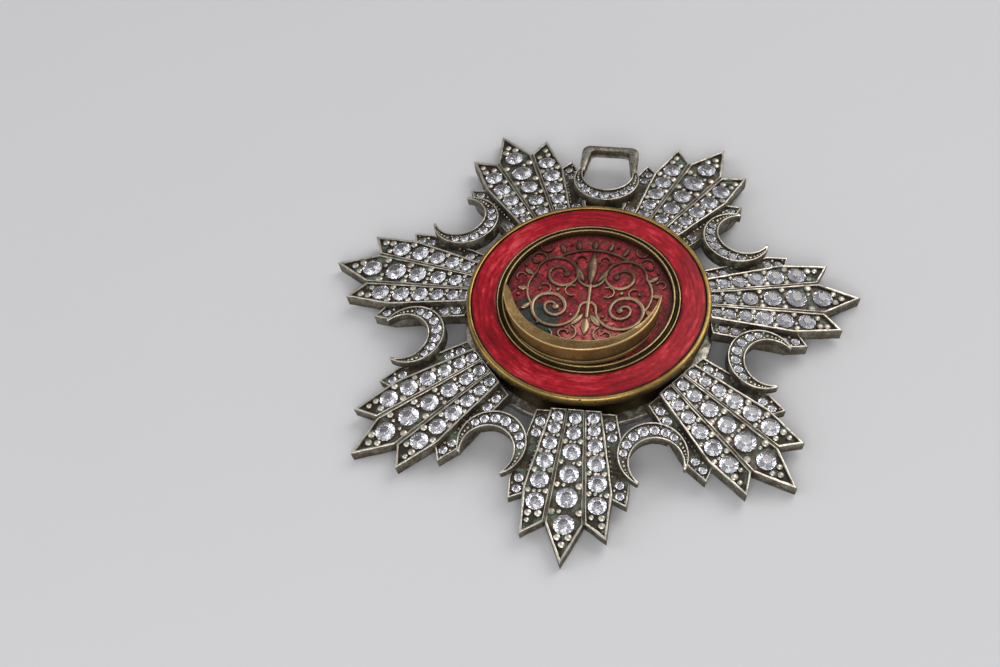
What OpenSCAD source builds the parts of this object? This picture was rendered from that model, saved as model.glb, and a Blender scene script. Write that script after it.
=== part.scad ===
// Star badge with seven fluted rays, crescents between the rays and a red enamelled
// medallion, worn by the brooch pin at its back. Millimetres; +Z points up through the
// medallion, and the badge lies on the tips of its rays at Z = 0. The rays carry round
// cut stones in sunk channels. The top crescent has a frame for a hanger.

/* [Star] */
// Distance from the medallion's axis to the long tips
tip_r = 40; // [39:0.5:42]
// Fall of the rays from the medallion to their tips, in degrees
dome = 10.3; // [9.5:0.1:10.5]
// Thickness of a ray at its middle and side flutes
ray_thickness = 2; // [1.9:0.1:2.3]
// Step from a ray's face down to its small outer flutes
small_drop = 0.85; // [0.85:0.05:1]
// Depth of the channels that hold the stones
channel_depth = 0.45; // [0.4:0.05:0.5]

/* [Crescents] */
// Height of a crescent's face over the faces of the rays
crescent_rise = 0.75; // [0.6:0.05:1]
// Depth of a crescent's middle, which hangs between two rays
crescent_depth = 2.1; // [1.6:0.1:2.4]
// Height of the hanger's frame over its crescent's face
frame_rise = 0.25; // [0.1:0.05:0.5]

/* [Medallion] */
// Height of the gold rim over the tops of the long tips
rim_top = 6.85; // [6.6:0.05:7.4]
// Height of the rim's upright side
rim_height = 1.4; // [1.2:0.1:1.6]
// Height of the inner bezel over the rim
bezel_rise = 0.7; // [0.5:0.05:0.9]
// Height of the gold crescent over the enamelled disc
gold_height = 4.1; // [3:0.1:4.5]
// Height of the gold scrolls over the enamelled disc
scroll_height = 0.3; // [0.2:0.05:0.5]

/* [Brooch pin] */
// Diameter of the pin's wire
pin_d = 0.9; // [0.8:0.1:1.1]
// Length of the strip that carries the hinge and the catch
pin_strip = 25; // [20:1:26]

/* [Stones] */
// Height of a stone's crown, as a share of its diameter
crown_share = 0.16; // [0.12:0.01:0.18]
// Depth of a stone under its girdle, as a share of its diameter
pavilion_share = 0.4; // [0.36:0.01:0.42]

/* [Hidden] */
$fn = 64;
RAYS = 7;
TOP_GAP = 4;
HANGING_GAPS = [for (k = [1:RAYS]) if (k != TOP_GAP) k];

clear = 0.1;                 // the gap kept between pieces
over = 0.2;                  // how far a cut runs past the face it opens
step = 360 / RAYS;
scale_k = tip_r / 40;        // plan sizes below are those of a star with 40 mm rays

// The lowest points are the tips' lower edges, and the box of the star is centred
tip_rise = ray_thickness * cos(dome);
star_y = tip_r * (1 - cos(step / 2)) / 2;

// Corners of a ray in plan: across the ray, and out from the medallion's axis
root_y = 17.3;
first_ridge = [[1.2, root_y], [2.75, 34]];
second_ridge = [[3.6, root_y], [6.2, 29.2]];
small_edge = [[5.7, root_y], [8.4, 27.6]];
side_tip = [5.98, 36.1];
small_tip = [8.23, 30.79];
small_valley = [6.2, 29.9];
small_bottom = 2.7;          // depth of the small flutes under the ray's face
small_lap = 1;               // how far a small flute runs in under its side flute
root_pad = [11, 1.6];        // the pad under a ray that rests on the gallery ring

// Width of the metal left beside a channel
ridge = 0.26;
wall = 0.35;
end_wall = 0.2;
small_wall = 0.1;

// Stones of one ray: flute, distance from the medallion's axis, diameter.
// Those of the side and small flutes stand on both sides of the ray.
MIDDLE = 0;
SIDE = 1;
SMALL = 2;
RAY_STONES = [
    [MIDDLE, 18.6, 1.75], [MIDDLE, 20.8, 2.05], [MIDDLE, 23.6, 2.45],
    [MIDDLE, 26.9, 2.6], [MIDDLE, 30.4, 3.1], [MIDDLE, 34.3, 2.9],
    [SIDE, 18.4, 1.6], [SIDE, 20.2, 1.8], [SIDE, 22.5, 2.1],
    [SIDE, 25.1, 2.5], [SIDE, 28, 2.6], [SIDE, 31.2, 2.65],
    [SMALL, 19, 1.4], [SMALL, 20.7, 1.4], [SMALL, 27.6, 1.3], [SMALL, 29.2, 1.25]];

// A crescent in plan is a disc less a smaller disc that lies further out, with blunt horns
crescent_outer = [25.8, 4.98];
crescent_inner = [27.1, 3.78];
horn_end = 29;
crescent_under = 0.55;       // depth of the horns, which lie over the small flutes
crescent_wall = 0.3;
crescent_channel = 0.4;
deep_width = 5.5;
// Stones of one crescent: degrees from its back, diameter; both sides
CRESCENT_STONES = [[0, 1.5], [21, 1.4], [41, 1.3]];

// The hanger's frame, whose bars stand on the horns and grow thinner toward them
frame_outer = [8.7, 33.3];   // width, and distance of its far side
frame_opening = [5.8, 32.2];
frame_foot = 27.4;
foot_opening = 7.1;          // width of the opening between the feet of the bars
frame_corner = 1.3;
opening_corner = 0.5;

// Radii of the medallion
rim_r = 17.65 * scale_k;
rim_inner_r = rim_r - 0.7;
case_r = 16.55 * scale_k;
case_inner_r = case_r - 0.65;
bezel_r = 13.2 * scale_k;
bezel_inner_r = bezel_r - 1.05;
bezel_foot_r = bezel_r + 0.8;
bezel_ledge_r = bezel_inner_r - 1.05;
bezel_groove = [0.26, 0.76]; // width of its outer lip, and of the lip and the groove
groove_depth = 0.45;

// The gallery ring, whose outer edge just clears the bottoms of the rays
ring_r = 18 * scale_k;
ring_inner_r = 14 * scale_k;
ring_height = 1;

// Heights over the tops of the long tips
ring_top = tan(dome) * (tip_r - ring_r) - small_bottom / cos(dome) - clear;
case_bottom = ring_top + clear;
case_floor = 0.9;
enamel_thickness = 0.8;
enamel_swell = 0.3;          // how much higher the ring of enamel is at the bezel
lip_rise = 0.45;             // height of the bezel's outer lip over the rim
shelf = rim_top - clear - enamel_thickness;
disc_top = rim_top - 0.25;
disc_thickness = 0.7;

// The gold crescent: middle and radius of its outer and inner edge at its top
gold_outer = [[-0.7, -0.57], 11.3];
gold_inner = [[-0.35, 0.6], 10.71];
gold_fall = 0.1;             // how much lower it gets for each millimetre toward its horns
// Where its horns end in a point, on the left and on the right: two points of a slanting cut
GOLD_ENDS = [[[-12.3, 0.6], [-10.5, -2.8]], [[9.9, -1.6], [10.75, 0]]];
gold_waist = 0.45;           // how far its wall is set in under the top edge
gold_foot = 0.9;
gold_lip = 0.6;

// Scrolls on one half of the disc: middle, radius, start and end in degrees
scroll_w = 0.55;
HALF_SCROLLS = [
    [[4.6, -1.6], 3.4, 180, 360], [[5.6, -1.6], 2.4, 0, 180],
    [[4.7, -1.6], 1.5, 180, 360], [[5.4, -1.6], 0.8, 0, 180],
    [[5, 4.4], 3, 0, 180], [[4.1, 4.4], 2.1, 180, 360], [[4.9, 4.4], 1.3, 0, 180],
    [[4, 1.4], 5, -37, 37]];
MIDDLE_SCROLLS = [
    [[0, -1.6], 1.2, 0, 180], [[0, 4.4], 2, 180, 360], [[0, 0.6], 8.5, 52, 128]];
// Leaves: foot, direction in degrees, length, width
HALF_LEAVES = [
    [[0.9, 3.1], 62, 3.2, 1], [[0.4, -2.5], -52, 2.9, 1], [[8.9, 1.4], 0, 1.6, 0.9],
    [[8.3, 3.9], 35, 1.9, 0.9], [[8.2, -1.2], -40, 1.9, 0.9],
    [[4.1, 8.1], 62, 2.1, 0.9], [[2.1, 8.8], 76, 2.1, 0.9]];
MIDDLE_LEAVES = [[[0, 2.5], 90, 6.6, 1.5], [[0, 9], 90, 2.1, 1], [[0, -3], -90, 3.4, 1.3]];
// Round ends of the scrolls: place and radius
HALF_DOTS = [[[4.6, -1.6], 0.55], [[3.6, 4.4], 0.55]];

// The brooch pin
strip = [3.2, 0.6];          // width and thickness
pin_drop = 1.5;              // from the strip's top down to the wire's axis
hinge_r = 1;
catch_r = 1.2;
catch_wall = 0.5;
catch_length = 2;
catch_neck = 1;

function unit(v) = v / norm(v);
function left_of(v) = [-v.y, v.x];
function cross2(a, b) = a.x * b.y - a.y * b.x;
// Where two lines meet, each given by a point and a direction
function meet(p, u, q, v) = p + u * cross2(q - p, v) / cross2(u, v);
// An anticlockwise outline moved inward; side i, from point i to the next, by widths[i]
function inset(pts, widths) = let (n = len(pts)) [for (i = [0:n - 1]) let (
    before = pts[i] - pts[(i + n - 1) % n],
    after = pts[(i + 1) % n] - pts[i])
    meet(pts[i] + left_of(unit(before)) * widths[(i + n - 1) % n], before,
         pts[i] + left_of(unit(after)) * widths[i], after)];
function line_x(line, y) =
    line[0].x + (y - line[0].y) * (line[1].x - line[0].x) / (line[1].y - line[0].y);
function flipped(pts) = [for (i = [len(pts) - 1:-1:0]) [-pts[i].x, pts[i].y]];

// From plan to a sloping face whose own origin is under the long tip
function slope_y(y) = (y * scale_k - tip_r) / cos(dome);
function on_face(p) = [p.x * scale_k, slope_y(p.y)];
function face_points(pts) = [for (p = pts) on_face(p)];

MIDDLE_FLUTE = [[-first_ridge[0].x, root_y], first_ridge[0], first_ridge[1],
                [0, 40], [-first_ridge[1].x, first_ridge[1].y]];
SIDE_FLUTE = [first_ridge[0], second_ridge[0], second_ridge[1], side_tip, first_ridge[1]];
SMALL_FLUTE = [second_ridge[0], small_edge[0], small_edge[1], small_tip, small_valley,
               second_ridge[1]];
MIDDLE_CHANNEL = inset(MIDDLE_FLUTE, [end_wall, ridge, wall, wall, ridge]);
SIDE_CHANNEL = inset(SIDE_FLUTE, [end_wall, ridge, wall, wall, ridge]);
SMALL_CHANNEL = inset(SMALL_FLUTE, [end_wall, wall, wall, wall, small_wall, small_wall]);

// Middle of a flute's channel, across the ray, at a distance from the medallion's axis
function flute_x(flute, y) =
    flute == MIDDLE ? 0 :
    flute == SIDE ? (line_x(first_ridge, y) + ridge
                     + min(line_x(second_ridge, y), second_ridge[1].x) - wall) / 2 :
    (min(line_x(second_ridge, y), second_ridge[1].x) + small_wall
     + min(line_x(small_edge, y), small_edge[1].x) - wall) / 2;

// Places of stones on a sloping face: [place, height of the channel's floor, diameter]
RAY_SETTINGS = [for (row = RAY_STONES, side = [-1, 1])
    if (row[0] != MIDDLE || side == 1)
        [on_face([side * flute_x(row[0], row[1]), row[1]]),
         -channel_depth - (row[0] == SMALL ? small_drop : 0), row[2] * scale_k]];
stone_path_y = (crescent_outer[0] + crescent_inner[0]) / 2;
stone_path_r = (crescent_outer[1] + crescent_inner[1]) / 2;
CRESCENT_SETTINGS = [for (row = CRESCENT_STONES, side = [-1, 1])
    if (row[0] != 0 || side == 1)
        [on_face([side * stone_path_r * sin(row[0]), stone_path_y - stone_path_r * cos(row[0])]),
         crescent_rise - crescent_channel, row[1] * scale_k]];

function girdle_height(d) = 0.1 * d + 0.05;

// Puts a sloping face into the badge; the face's Y axis runs out along its ray or gap
module on_slope(turn) {
    translate([0, star_y, tip_rise]) rotate(180 + turn)
        translate([0, tip_r, 0]) rotate([-dome, 0, 0]) children();
}

// Puts a thing at the medallion's axis, at a height over the tops of the long tips
module on_axis(z = 0) {
    translate([0, star_y, tip_rise + z]) children();
}

module plate(pts, low, high) {
    translate([0, 0, low]) linear_extrude(high - low) polygon(pts);
}

module both_sides() {
    children();
    mirror([1, 0, 0]) children();
}

// An eight-sided cut stone: flat table, crown, girdle at z = 0 and pointed pavilion
module brilliant(d) {
    sides = 8;
    table_r = 0.29 * d;
    corners = concat(
        [for (i = [0:sides - 1])
            [table_r * cos(i * 360 / sides), table_r * sin(i * 360 / sides), crown_share * d]],
        [for (i = [0:sides - 1])
            [d / 2 * cos(i * 360 / sides), d / 2 * sin(i * 360 / sides), 0]],
        [[0, 0, -pavilion_share * d]]);
    polyhedron(corners, concat(
        [[for (i = [sides - 1:-1:0]) i]],
        [for (i = [0:sides - 1])
            let (j = (i + 1) % sides) [i, j, sides + j, sides + i]],
        [for (i = [0:sides - 1])
            let (j = (i + 1) % sides) [sides + i, sides + j, 2 * sides]]));
}

// The stones of one list of settings
module stones(settings) {
    for (s = settings)
        translate([s[0].x, s[0].y, s[1] + girdle_height(s[2])]) brilliant(s[2]);
}

// The eight-sided seats sunk under those stones
module seats(settings) {
    for (s = settings) let (
        depth = pavilion_share * s[2] - girdle_height(s[2]),
        seat_r = s[2] / 2 * depth / (pavilion_share * s[2]) + clear)
        translate([s[0].x, s[0].y, s[1] - depth - clear])
            cylinder(r = seat_r, h = depth + clear + over, $fn = 8);
}

// One cast ray: a middle flute, two side flutes and two small ones a step lower
module ray(k) {
    face = concat(
        [second_ridge[0], second_ridge[1], side_tip, first_ridge[1], [0, 40]],
        flipped([second_ridge[0], second_ridge[1], side_tip, first_ridge[1]]));
    small_body = concat([second_ridge[0] - [small_lap, 0]], [for (i = [1:4]) SMALL_FLUTE[i]],
        [small_valley - [small_lap, 0]]);
    color("silver") on_slope((k - 1) * step) difference() {
        union() {
            plate(face_points(face), -ray_thickness, 0);
            both_sides() plate(face_points(small_body), -small_bottom, -small_drop);
            translate([-root_pad.x / 2, slope_y(root_y), -small_bottom])
                cube([root_pad.x, root_pad.y, small_bottom - ray_thickness / 2]);
        }
        plate(face_points(MIDDLE_CHANNEL), -channel_depth, over);
        both_sides() plate(face_points(SIDE_CHANNEL), -channel_depth, over);
        both_sides()
            plate(face_points(SMALL_CHANNEL), -small_drop - channel_depth, -small_drop + over);
        seats(RAY_SETTINGS);
    }
}

module ray_stones(k) {
    color("aliceblue") on_slope((k - 1) * step) stones(RAY_SETTINGS);
}

module crescent_outline(inward = 0) {
    reach = crescent_outer[1] * scale_k + over;
    difference() {
        translate([0, slope_y(crescent_outer[0])]) circle(crescent_outer[1] * scale_k - inward);
        translate([0, slope_y(crescent_inner[0])]) circle(crescent_inner[1] * scale_k + inward);
        translate([-reach, slope_y(horn_end) - inward]) square([2 * reach, reach]);
    }
}

// A crescent on its sloping face: thin horns over the small flutes, and a deep middle
module crescent_body() {
    back = slope_y(crescent_outer[0] - crescent_outer[1]) - over;
    difference() {
        union() {
            translate([0, 0, -crescent_under])
                linear_extrude(crescent_under + crescent_rise) crescent_outline();
            translate([0, 0, crescent_rise - crescent_depth])
                linear_extrude(crescent_depth - crescent_rise) intersection() {
                    crescent_outline();
                    translate([-deep_width / 2, back]) square([deep_width, deep_width]);
                }
        }
        translate([0, 0, crescent_rise - crescent_channel])
            linear_extrude(crescent_channel + over) crescent_outline(crescent_wall);
        seats(CRESCENT_SETTINGS);
    }
}

module crescent(k) {
    color("silver") on_slope((k - 0.5) * step) crescent_body();
}

module crescent_stones(k) {
    color("aliceblue") on_slope((k - 0.5) * step) stones(CRESCENT_SETTINGS);
}

// A rectangle from one distance to another, with its far corners rounded
module arch(width, near, far, corner) {
    near_y = slope_y(near);
    far_y = slope_y(far);
    translate([-width / 2, near_y]) square([width, far_y - near_y - corner]);
    translate([-width / 2 + corner, near_y]) square([width - 2 * corner, far_y - near_y]);
    for (side = [-1, 1])
        translate([side * (width / 2 - corner), far_y - corner]) circle(corner);
}

// The top crescent, with the frame that a hanger hooks into soldered to its horns
module crescent_hanger() {
    near_y = slope_y(frame_foot) - over;
    far_y = slope_y(frame_opening.y) - opening_corner;
    far_half = frame_opening.x / 2;
    near_half = foot_opening / 2;
    color("silver") on_slope((TOP_GAP - 0.5) * step) {
        crescent_body();
        translate([0, 0, -crescent_under])
            linear_extrude(crescent_under + crescent_rise + frame_rise) difference() {
                arch(frame_outer.x, frame_foot, frame_outer.y, frame_corner);
                arch(frame_opening.x, frame_foot - over, frame_opening.y, opening_corner);
                polygon([[-near_half, near_y], [near_half, near_y], [far_half, far_y],
                         [-far_half, far_y]]);
            }
    }
}

// The flat ring at the back that the rays rest on
module gallery_ring() {
    color("darkgray") on_axis(ring_top - ring_height) difference() {
        cylinder(r = ring_r, h = ring_height);
        translate([0, 0, -over]) cylinder(r = ring_inner_r, h = ring_height + 2 * over);
    }
}

// The gold cup of the medallion, with its upright rim
module medallion_case() {
    flange = rim_top - rim_height;
    color("goldenrod") on_axis() rotate_extrude() polygon([
        [0, case_bottom], [case_r, case_bottom], [case_r, flange], [rim_r, flange],
        [rim_r, rim_top], [rim_inner_r, rim_top], [rim_inner_r, shelf], [case_inner_r, shelf],
        [case_inner_r, case_bottom + case_floor], [0, case_bottom + case_floor]]);
}

// The ring of red enamel, which swells a little from the rim to the bezel
module enamel_ring() {
    low = shelf + clear;
    top = rim_top - clear;
    color("crimson") on_axis() rotate_extrude() polygon([
        [bezel_r + clear, low], [rim_inner_r - clear, low],
        [rim_inner_r - clear, top], [bezel_r + clear, top + enamel_swell]]);
}

// The gold ring round the disc, with a groove between its low and its high lip
module inner_bezel() {
    foot = case_bottom + case_floor + clear;
    lip = rim_top + lip_rise;
    groove_floor = lip - groove_depth;
    top = rim_top + bezel_rise;
    ledge = disc_top - disc_thickness - clear;
    color("goldenrod") on_axis() rotate_extrude() polygon([
        [bezel_ledge_r, foot], [bezel_foot_r, foot], [bezel_foot_r, shelf], [bezel_r, shelf],
        [bezel_r, lip], [bezel_r - bezel_groove[0], lip],
        [bezel_r - bezel_groove[0], groove_floor], [bezel_r - bezel_groove[1], groove_floor],
        [bezel_r - bezel_groove[1], top], [bezel_inner_r, top],
        [bezel_inner_r, ledge], [bezel_ledge_r, ledge]]);
}

module enamel_disc() {
    color("firebrick") on_axis(disc_top - disc_thickness)
        cylinder(r = bezel_inner_r - clear, h = disc_thickness);
}

module arc_bar(arc, width, height) {
    translate(arc[0] * scale_k) rotate(arc[2]) rotate_extrude(angle = arc[3] - arc[2])
        translate([arc[1] * scale_k - width / 2, 0]) square([width, height]);
}

// A pointed leaf from its foot: two arcs that meet at both ends
module leaf(row, height) {
    length = row[2] * scale_k;
    half_w = row[3] * scale_k / 2;
    leaf_r = (length * length / 4 + half_w * half_w) / (2 * half_w);
    translate(row[0] * scale_k) rotate(row[1]) linear_extrude(height) intersection() {
        translate([length / 2, half_w - leaf_r]) circle(leaf_r);
        translate([length / 2, leaf_r - half_w]) circle(leaf_r);
    }
}

// A raised arabesque of scrolls and leaves, the same on both halves of the disc
module gold_scrolls() {
    color("gold") on_axis(disc_top + clear) {
        for (arc = MIDDLE_SCROLLS) arc_bar(arc, scroll_w, scroll_height);
        for (row = MIDDLE_LEAVES) leaf(row, scroll_height);
        translate([-scroll_w / 2, -3.2]) cube([scroll_w, 6, scroll_height]);
        both_sides() {
            for (arc = HALF_SCROLLS) arc_bar(arc, scroll_w, scroll_height);
            for (row = HALF_LEAVES) leaf(row, scroll_height);
            for (dot = HALF_DOTS)
                translate(dot[0] * scale_k) cylinder(r = dot[1], h = scroll_height);
        }
    }
}

// One layer of the gold crescent, with its outer edge set in
module gold_layer(low, high, set_in) {
    translate([0, 0, low]) linear_extrude(high - low) difference() {
        translate(gold_outer[0] * scale_k) circle(gold_outer[1] * scale_k - set_in);
        translate(gold_inner[0] * scale_k) circle(gold_inner[1] * scale_k);
    }
}

// The tall gold crescent that stands on the disc: foot, hollowed wall and top edge, each
// lower toward the horns, so that the foot runs out into the disc there
module gold_crescent() {
    reach = gold_outer[1] * scale_k + 2;
    back_y = (gold_outer[0].y - gold_outer[1]) * scale_k;
    cut = concat(GOLD_ENDS[1], GOLD_ENDS[0]) * scale_k;
    color("goldenrod") on_axis(disc_top + clear) intersection() {
        multmatrix([[1, 0, 0, 0], [0, 1, 0, 0], [0, -gold_fall, 1, gold_fall * back_y]]) {
            gold_layer(-over, gold_foot, gold_waist / 2);
            gold_layer(gold_foot, gold_height - gold_lip, gold_waist);
            gold_layer(gold_height - gold_lip, gold_height, 0);
        }
        linear_extrude(gold_height + over) polygon([
            [-reach, -reach], [reach, -reach], [reach, cut[1].y], cut[1], cut[0], cut[3], cut[2],
            [-reach, cut[2].y]]);
    }
}

// Hinge, wire and catch on one strip under the case, all one piece
module brooch_pin() {
    strip_top = case_bottom - clear;
    reach = pin_strip / 2;
    hinge_x = -reach + hinge_r;
    catch_x = reach - catch_length / 2;
    catch_top = -pin_drop + catch_r - catch_wall / 2;
    color("darkgray") on_axis(strip_top) {
        translate([-reach, -strip.x / 2, -strip.y]) cube([pin_strip, strip.x, strip.y]);
        translate([-reach, -strip.x / 2, -pin_drop]) cube([2 * hinge_r, strip.x, pin_drop]);
        translate([hinge_x, strip.x / 2, -pin_drop]) rotate([90, 0, 0])
            cylinder(r = hinge_r, h = strip.x);
        translate([hinge_x, 0, -pin_drop]) rotate([0, 90, 0])
            cylinder(r = pin_d / 2, h = reach - hinge_x);
        translate([catch_x, 0, -pin_drop]) rotate([0, 90, 0]) difference() {
            cylinder(r = catch_r, h = catch_length, center = true);
            cylinder(r = catch_r - catch_wall, h = catch_length + over, center = true);
            translate([0, -catch_r, -catch_length])
                cube([2 * catch_r, catch_r, 2 * catch_length]);
        }
        translate([catch_x - catch_length / 2, -catch_neck / 2, catch_top])
            cube([catch_length, catch_neck, -catch_top]);
    }
}

for (k = [1:RAYS]) ray(k);
for (k = [1:RAYS]) ray_stones(k);
for (k = HANGING_GAPS) crescent(k);
crescent_hanger();
for (k = [1:RAYS]) crescent_stones(k);
gallery_ring();
medallion_case();
enamel_ring();
inner_bezel();
enamel_disc();
gold_scrolls();
gold_crescent();
brooch_pin();
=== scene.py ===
"""Looks of the star badge: seven silver rays set with stones round a red enamelled medallion.

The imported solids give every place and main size. The classes below build the visible
pieces around them in millimetres and hand them to Blender in metres.
"""
import logging
import math
from dataclasses import dataclass, field
from enum import Enum
from itertools import product
from random import Random
from typing import Optional, Sequence

import bpy
from mathutils import Matrix, Vector
from mathutils.geometry import tessellate_polygon


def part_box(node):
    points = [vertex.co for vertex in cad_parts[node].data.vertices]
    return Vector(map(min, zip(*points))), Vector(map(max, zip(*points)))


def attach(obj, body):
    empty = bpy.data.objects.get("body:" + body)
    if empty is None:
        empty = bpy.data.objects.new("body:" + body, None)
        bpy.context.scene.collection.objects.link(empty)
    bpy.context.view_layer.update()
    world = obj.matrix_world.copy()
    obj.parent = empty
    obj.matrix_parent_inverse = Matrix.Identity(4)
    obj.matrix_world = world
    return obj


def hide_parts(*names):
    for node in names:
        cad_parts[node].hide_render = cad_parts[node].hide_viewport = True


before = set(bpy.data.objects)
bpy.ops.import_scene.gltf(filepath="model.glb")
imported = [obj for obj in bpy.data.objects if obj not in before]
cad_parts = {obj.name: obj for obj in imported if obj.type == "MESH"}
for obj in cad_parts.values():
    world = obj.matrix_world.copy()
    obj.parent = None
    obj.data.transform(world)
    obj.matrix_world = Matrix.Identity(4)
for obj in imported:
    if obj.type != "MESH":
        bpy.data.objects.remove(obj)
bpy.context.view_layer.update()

MM = 0.001         # metres in a millimetre
RAYS = 7
TOP_GAP = 4        # the gap at the top, whose crescent carries the hanger's frame
STEP = 360 / RAYS  # degrees from one ray to the next
BODY = "root"
RAY_SEED = 100
GAP_SEED = 200
DISC_SEED = 7
log = logging.getLogger("badge")

Flat = tuple[float, float]
Line = tuple[Flat, Flat]
Ring = tuple[Flat, float]
Triple = tuple[float, float, float]
Stops = tuple[tuple[float, Triple], ...]
Material = bpy.types.Material
Socket = bpy.types.NodeSocket


class Flute(Enum):
    """The three kinds of flute on a ray."""

    MIDDLE = "middle"
    SIDE = "side"
    SMALL = "small"

    @property
    def sides(self) -> tuple[int, ...]:
        """Where it lies on a ray: -1 is left and 1 right, and the middle one is there once."""
        return (1,) if self is Flute.MIDDLE else (-1, 1)


# Meshes

# Rings of a grain of metal: share of its radius, share of its height, grime
GRAIN_RINGS = ((1, 0, 0.75), (1, 0.36, 0.34), (0.9, 0.7, 0.17), (0.56, 0.94, 0.13))


@dataclass
class Draft:
    """Corners and faces of one mesh in millimetres, with a share of grime and painted shade at each
    corner.
    """

    corners: list[Vector] = field(default_factory=list)
    grime_and_shade: list[float] = field(default_factory=list)
    faces: list[tuple[int, ...]] = field(default_factory=list)

    def section(self, points: Sequence[Vector], grimes_and_shades: Sequence[float]) -> list[int]:
        """Adds corners, each with its own share of grime and painted shade.

        Args:
            points: places of the corners.
            grimes_and_shades: share of grime and painted shade on each, from 0, polished or painted
                highlight, to 1, black.
        Returns:
            The numbers of the new corners.
        """
        first = len(self.corners)
        self.corners.extend(Vector(p) for p in points)
        self.grime_and_shade.extend(grimes_and_shades)
        return list(range(first, len(self.corners)))

    def loop(self, points: Sequence[Vector], grime_and_shade: float) -> list[int]:
        """Adds corners that share one grime and painted shade, and gives their numbers."""
        return self.section(points, [grime_and_shade] * len(points))

    def band(self, low: Sequence[int], high: Sequence[int], closed: bool = True) -> None:
        """Joins two loops of equal count with four-sided faces.

        Args:
            low: the first loop, anticlockwise seen from outside its end.
            high: the next loop.
            closed: whether the last corners join the first ones.
        """
        count = len(low)
        for i in range(count if closed else count - 1):
            j = (i + 1) % count
            self.faces.append((low[i], low[j], high[j], high[i]))

    def stack(self, loops: Sequence[Sequence[Vector]], grimes_and_shades: Sequence[float]) -> list[list[int]]:
        """Adds closed loops and joins each to the next.

        Args:
            loops: loops of equal count, in order.
            grimes_and_shades: share of grime and painted shade on each loop.
        Returns:
            The numbers of each loop's corners.
        """
        rows = [self.loop(points, grime_and_shade) for points, grime_and_shade in zip(loops, grimes_and_shades)]
        for low, high in zip(rows, rows[1:]):
            self.band(low, high)
        return rows

    def bar(self, sections: Sequence[Sequence[Vector]], grimes_and_shades: Sequence[float],
            standing: bool = False) -> None:
        """Adds a bar's sections, joins each to the next and closes both ends.

        Args:
            sections: cross-sections of equal count, from one end to the other. Seen from the far
                end, those of a standing bar are clockwise, and the faces of any other bar look
                outward only if its sections are anticlockwise.
            grimes_and_shades: share of grime and painted shade at each corner of a section.
            standing: whether the bar stands on another piece, so that it needs no underside.
        """
        rows = [self.section(points, grimes_and_shades) for points in sections]
        for near, far in zip(rows, rows[1:]):
            if standing:
                self.band(far, near, closed=False)
            else:
                self.band(near, far)
        self.cap(rows[0] if standing else rows[0][::-1])
        self.cap(rows[-1][::-1] if standing else rows[-1])

    def cap(self, rim: Sequence[int]) -> None:
        """Closes a convex loop with one face."""
        self.faces.append(tuple(rim))

    def plate(self, rim: Sequence[int], holes: Sequence[Sequence[int]] = (),
              up: bool = True) -> None:
        """Fills a flat outline, which may be hollow-cornered, with triangles.

        Args:
            rim: corners of the outline.
            holes: outlines left open in it.
            up: whether the face looks along +Z.
        """
        order = [*rim, *(i for hole in holes for i in hole)]
        outlines = [[self.corners[i] for i in part] for part in (rim, *holes)]
        for a, b, c in tessellate_polygon(outlines):
            p, q, r = (self.corners[order[i]] for i in (a, b, c))
            turned = ((q - p).cross(r - p).z > 0) != up
            face = (order[a], order[c], order[b]) if turned else (order[a], order[b], order[c])
            self.faces.append(face)

    def bead(self, centre: Vector, radius: float, height: float, sides: int = 10) -> None:
        """Adds a round grain of metal that stands on a floor.

        Args:
            centre: the middle of its foot.
            radius: its radius.
            height: its height.
            sides: corners in each ring.
        """
        rings = [[centre + Vector((x, y, high * height)) for x, y in circle(wide * radius, sides)]
                 for wide, high, _ in GRAIN_RINGS]
        grimes_and_shades = [grime_and_shade for _, _, grime_and_shade in GRAIN_RINGS]
        rows = self.stack(rings, grimes_and_shades)
        top = self.loop([centre + Vector((0, 0, height))], grimes_and_shades[-1])[0]
        for i in range(sides):
            self.faces.append((rows[-1][i], rows[-1][(i + 1) % sides], top))

    def block(self, low: Vector, high: Vector, grime_and_shade: float) -> None:
        """Adds a plain block.

        Args:
            low: its lowest corner.
            high: its highest corner.
            grime_and_shade: share of grime and painted shade all over it.
        """
        base = [(low.x, low.y), (high.x, low.y), (high.x, high.y), (low.x, high.y)]
        rows = self.stack([raised(base, z) for z in (low.z, high.z)], [grime_and_shade, grime_and_shade])
        self.cap(rows[0][::-1])
        self.cap(rows[1])

    def thing(self, name: str, material: Material, smooth_under: float) -> bpy.types.Object:
        """Makes the Blender object.

        Args:
            name: its name.
            material: its finish.
            smooth_under: edges under this angle, in degrees, are shaded smooth; 0 for none.
        Returns:
            The new object.
        """
        mesh = bpy.data.meshes.new(name)
        mesh.from_pydata([p * MM for p in self.corners], [], self.faces)
        mesh.attributes.new("grime_and_shade", "FLOAT", "POINT").data.foreach_set("value", self.grime_and_shade)
        mesh.validate()
        if smooth_under:
            mesh.shade_smooth()
            mesh.set_sharp_from_angle(angle=math.radians(smooth_under))
        mesh.materials.append(material)
        made = bpy.data.objects.new(name, mesh)
        bpy.context.scene.collection.objects.link(made)
        return made

    def piece(self, place: Matrix, name: str, material: Material, slot: str, node: str,
              smooth_under: float = 38) -> None:
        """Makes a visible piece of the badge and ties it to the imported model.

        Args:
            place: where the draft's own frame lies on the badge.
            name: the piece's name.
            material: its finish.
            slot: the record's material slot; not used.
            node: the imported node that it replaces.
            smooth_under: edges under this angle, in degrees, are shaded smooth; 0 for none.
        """
        placed = Draft([place @ p for p in self.corners], self.grime_and_shade, self.faces)
        made = placed.thing(name, material, smooth_under)
        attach(made, BODY)
        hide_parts(node)
        log.info("%s: %d faces", name, len(self.faces))


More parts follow.
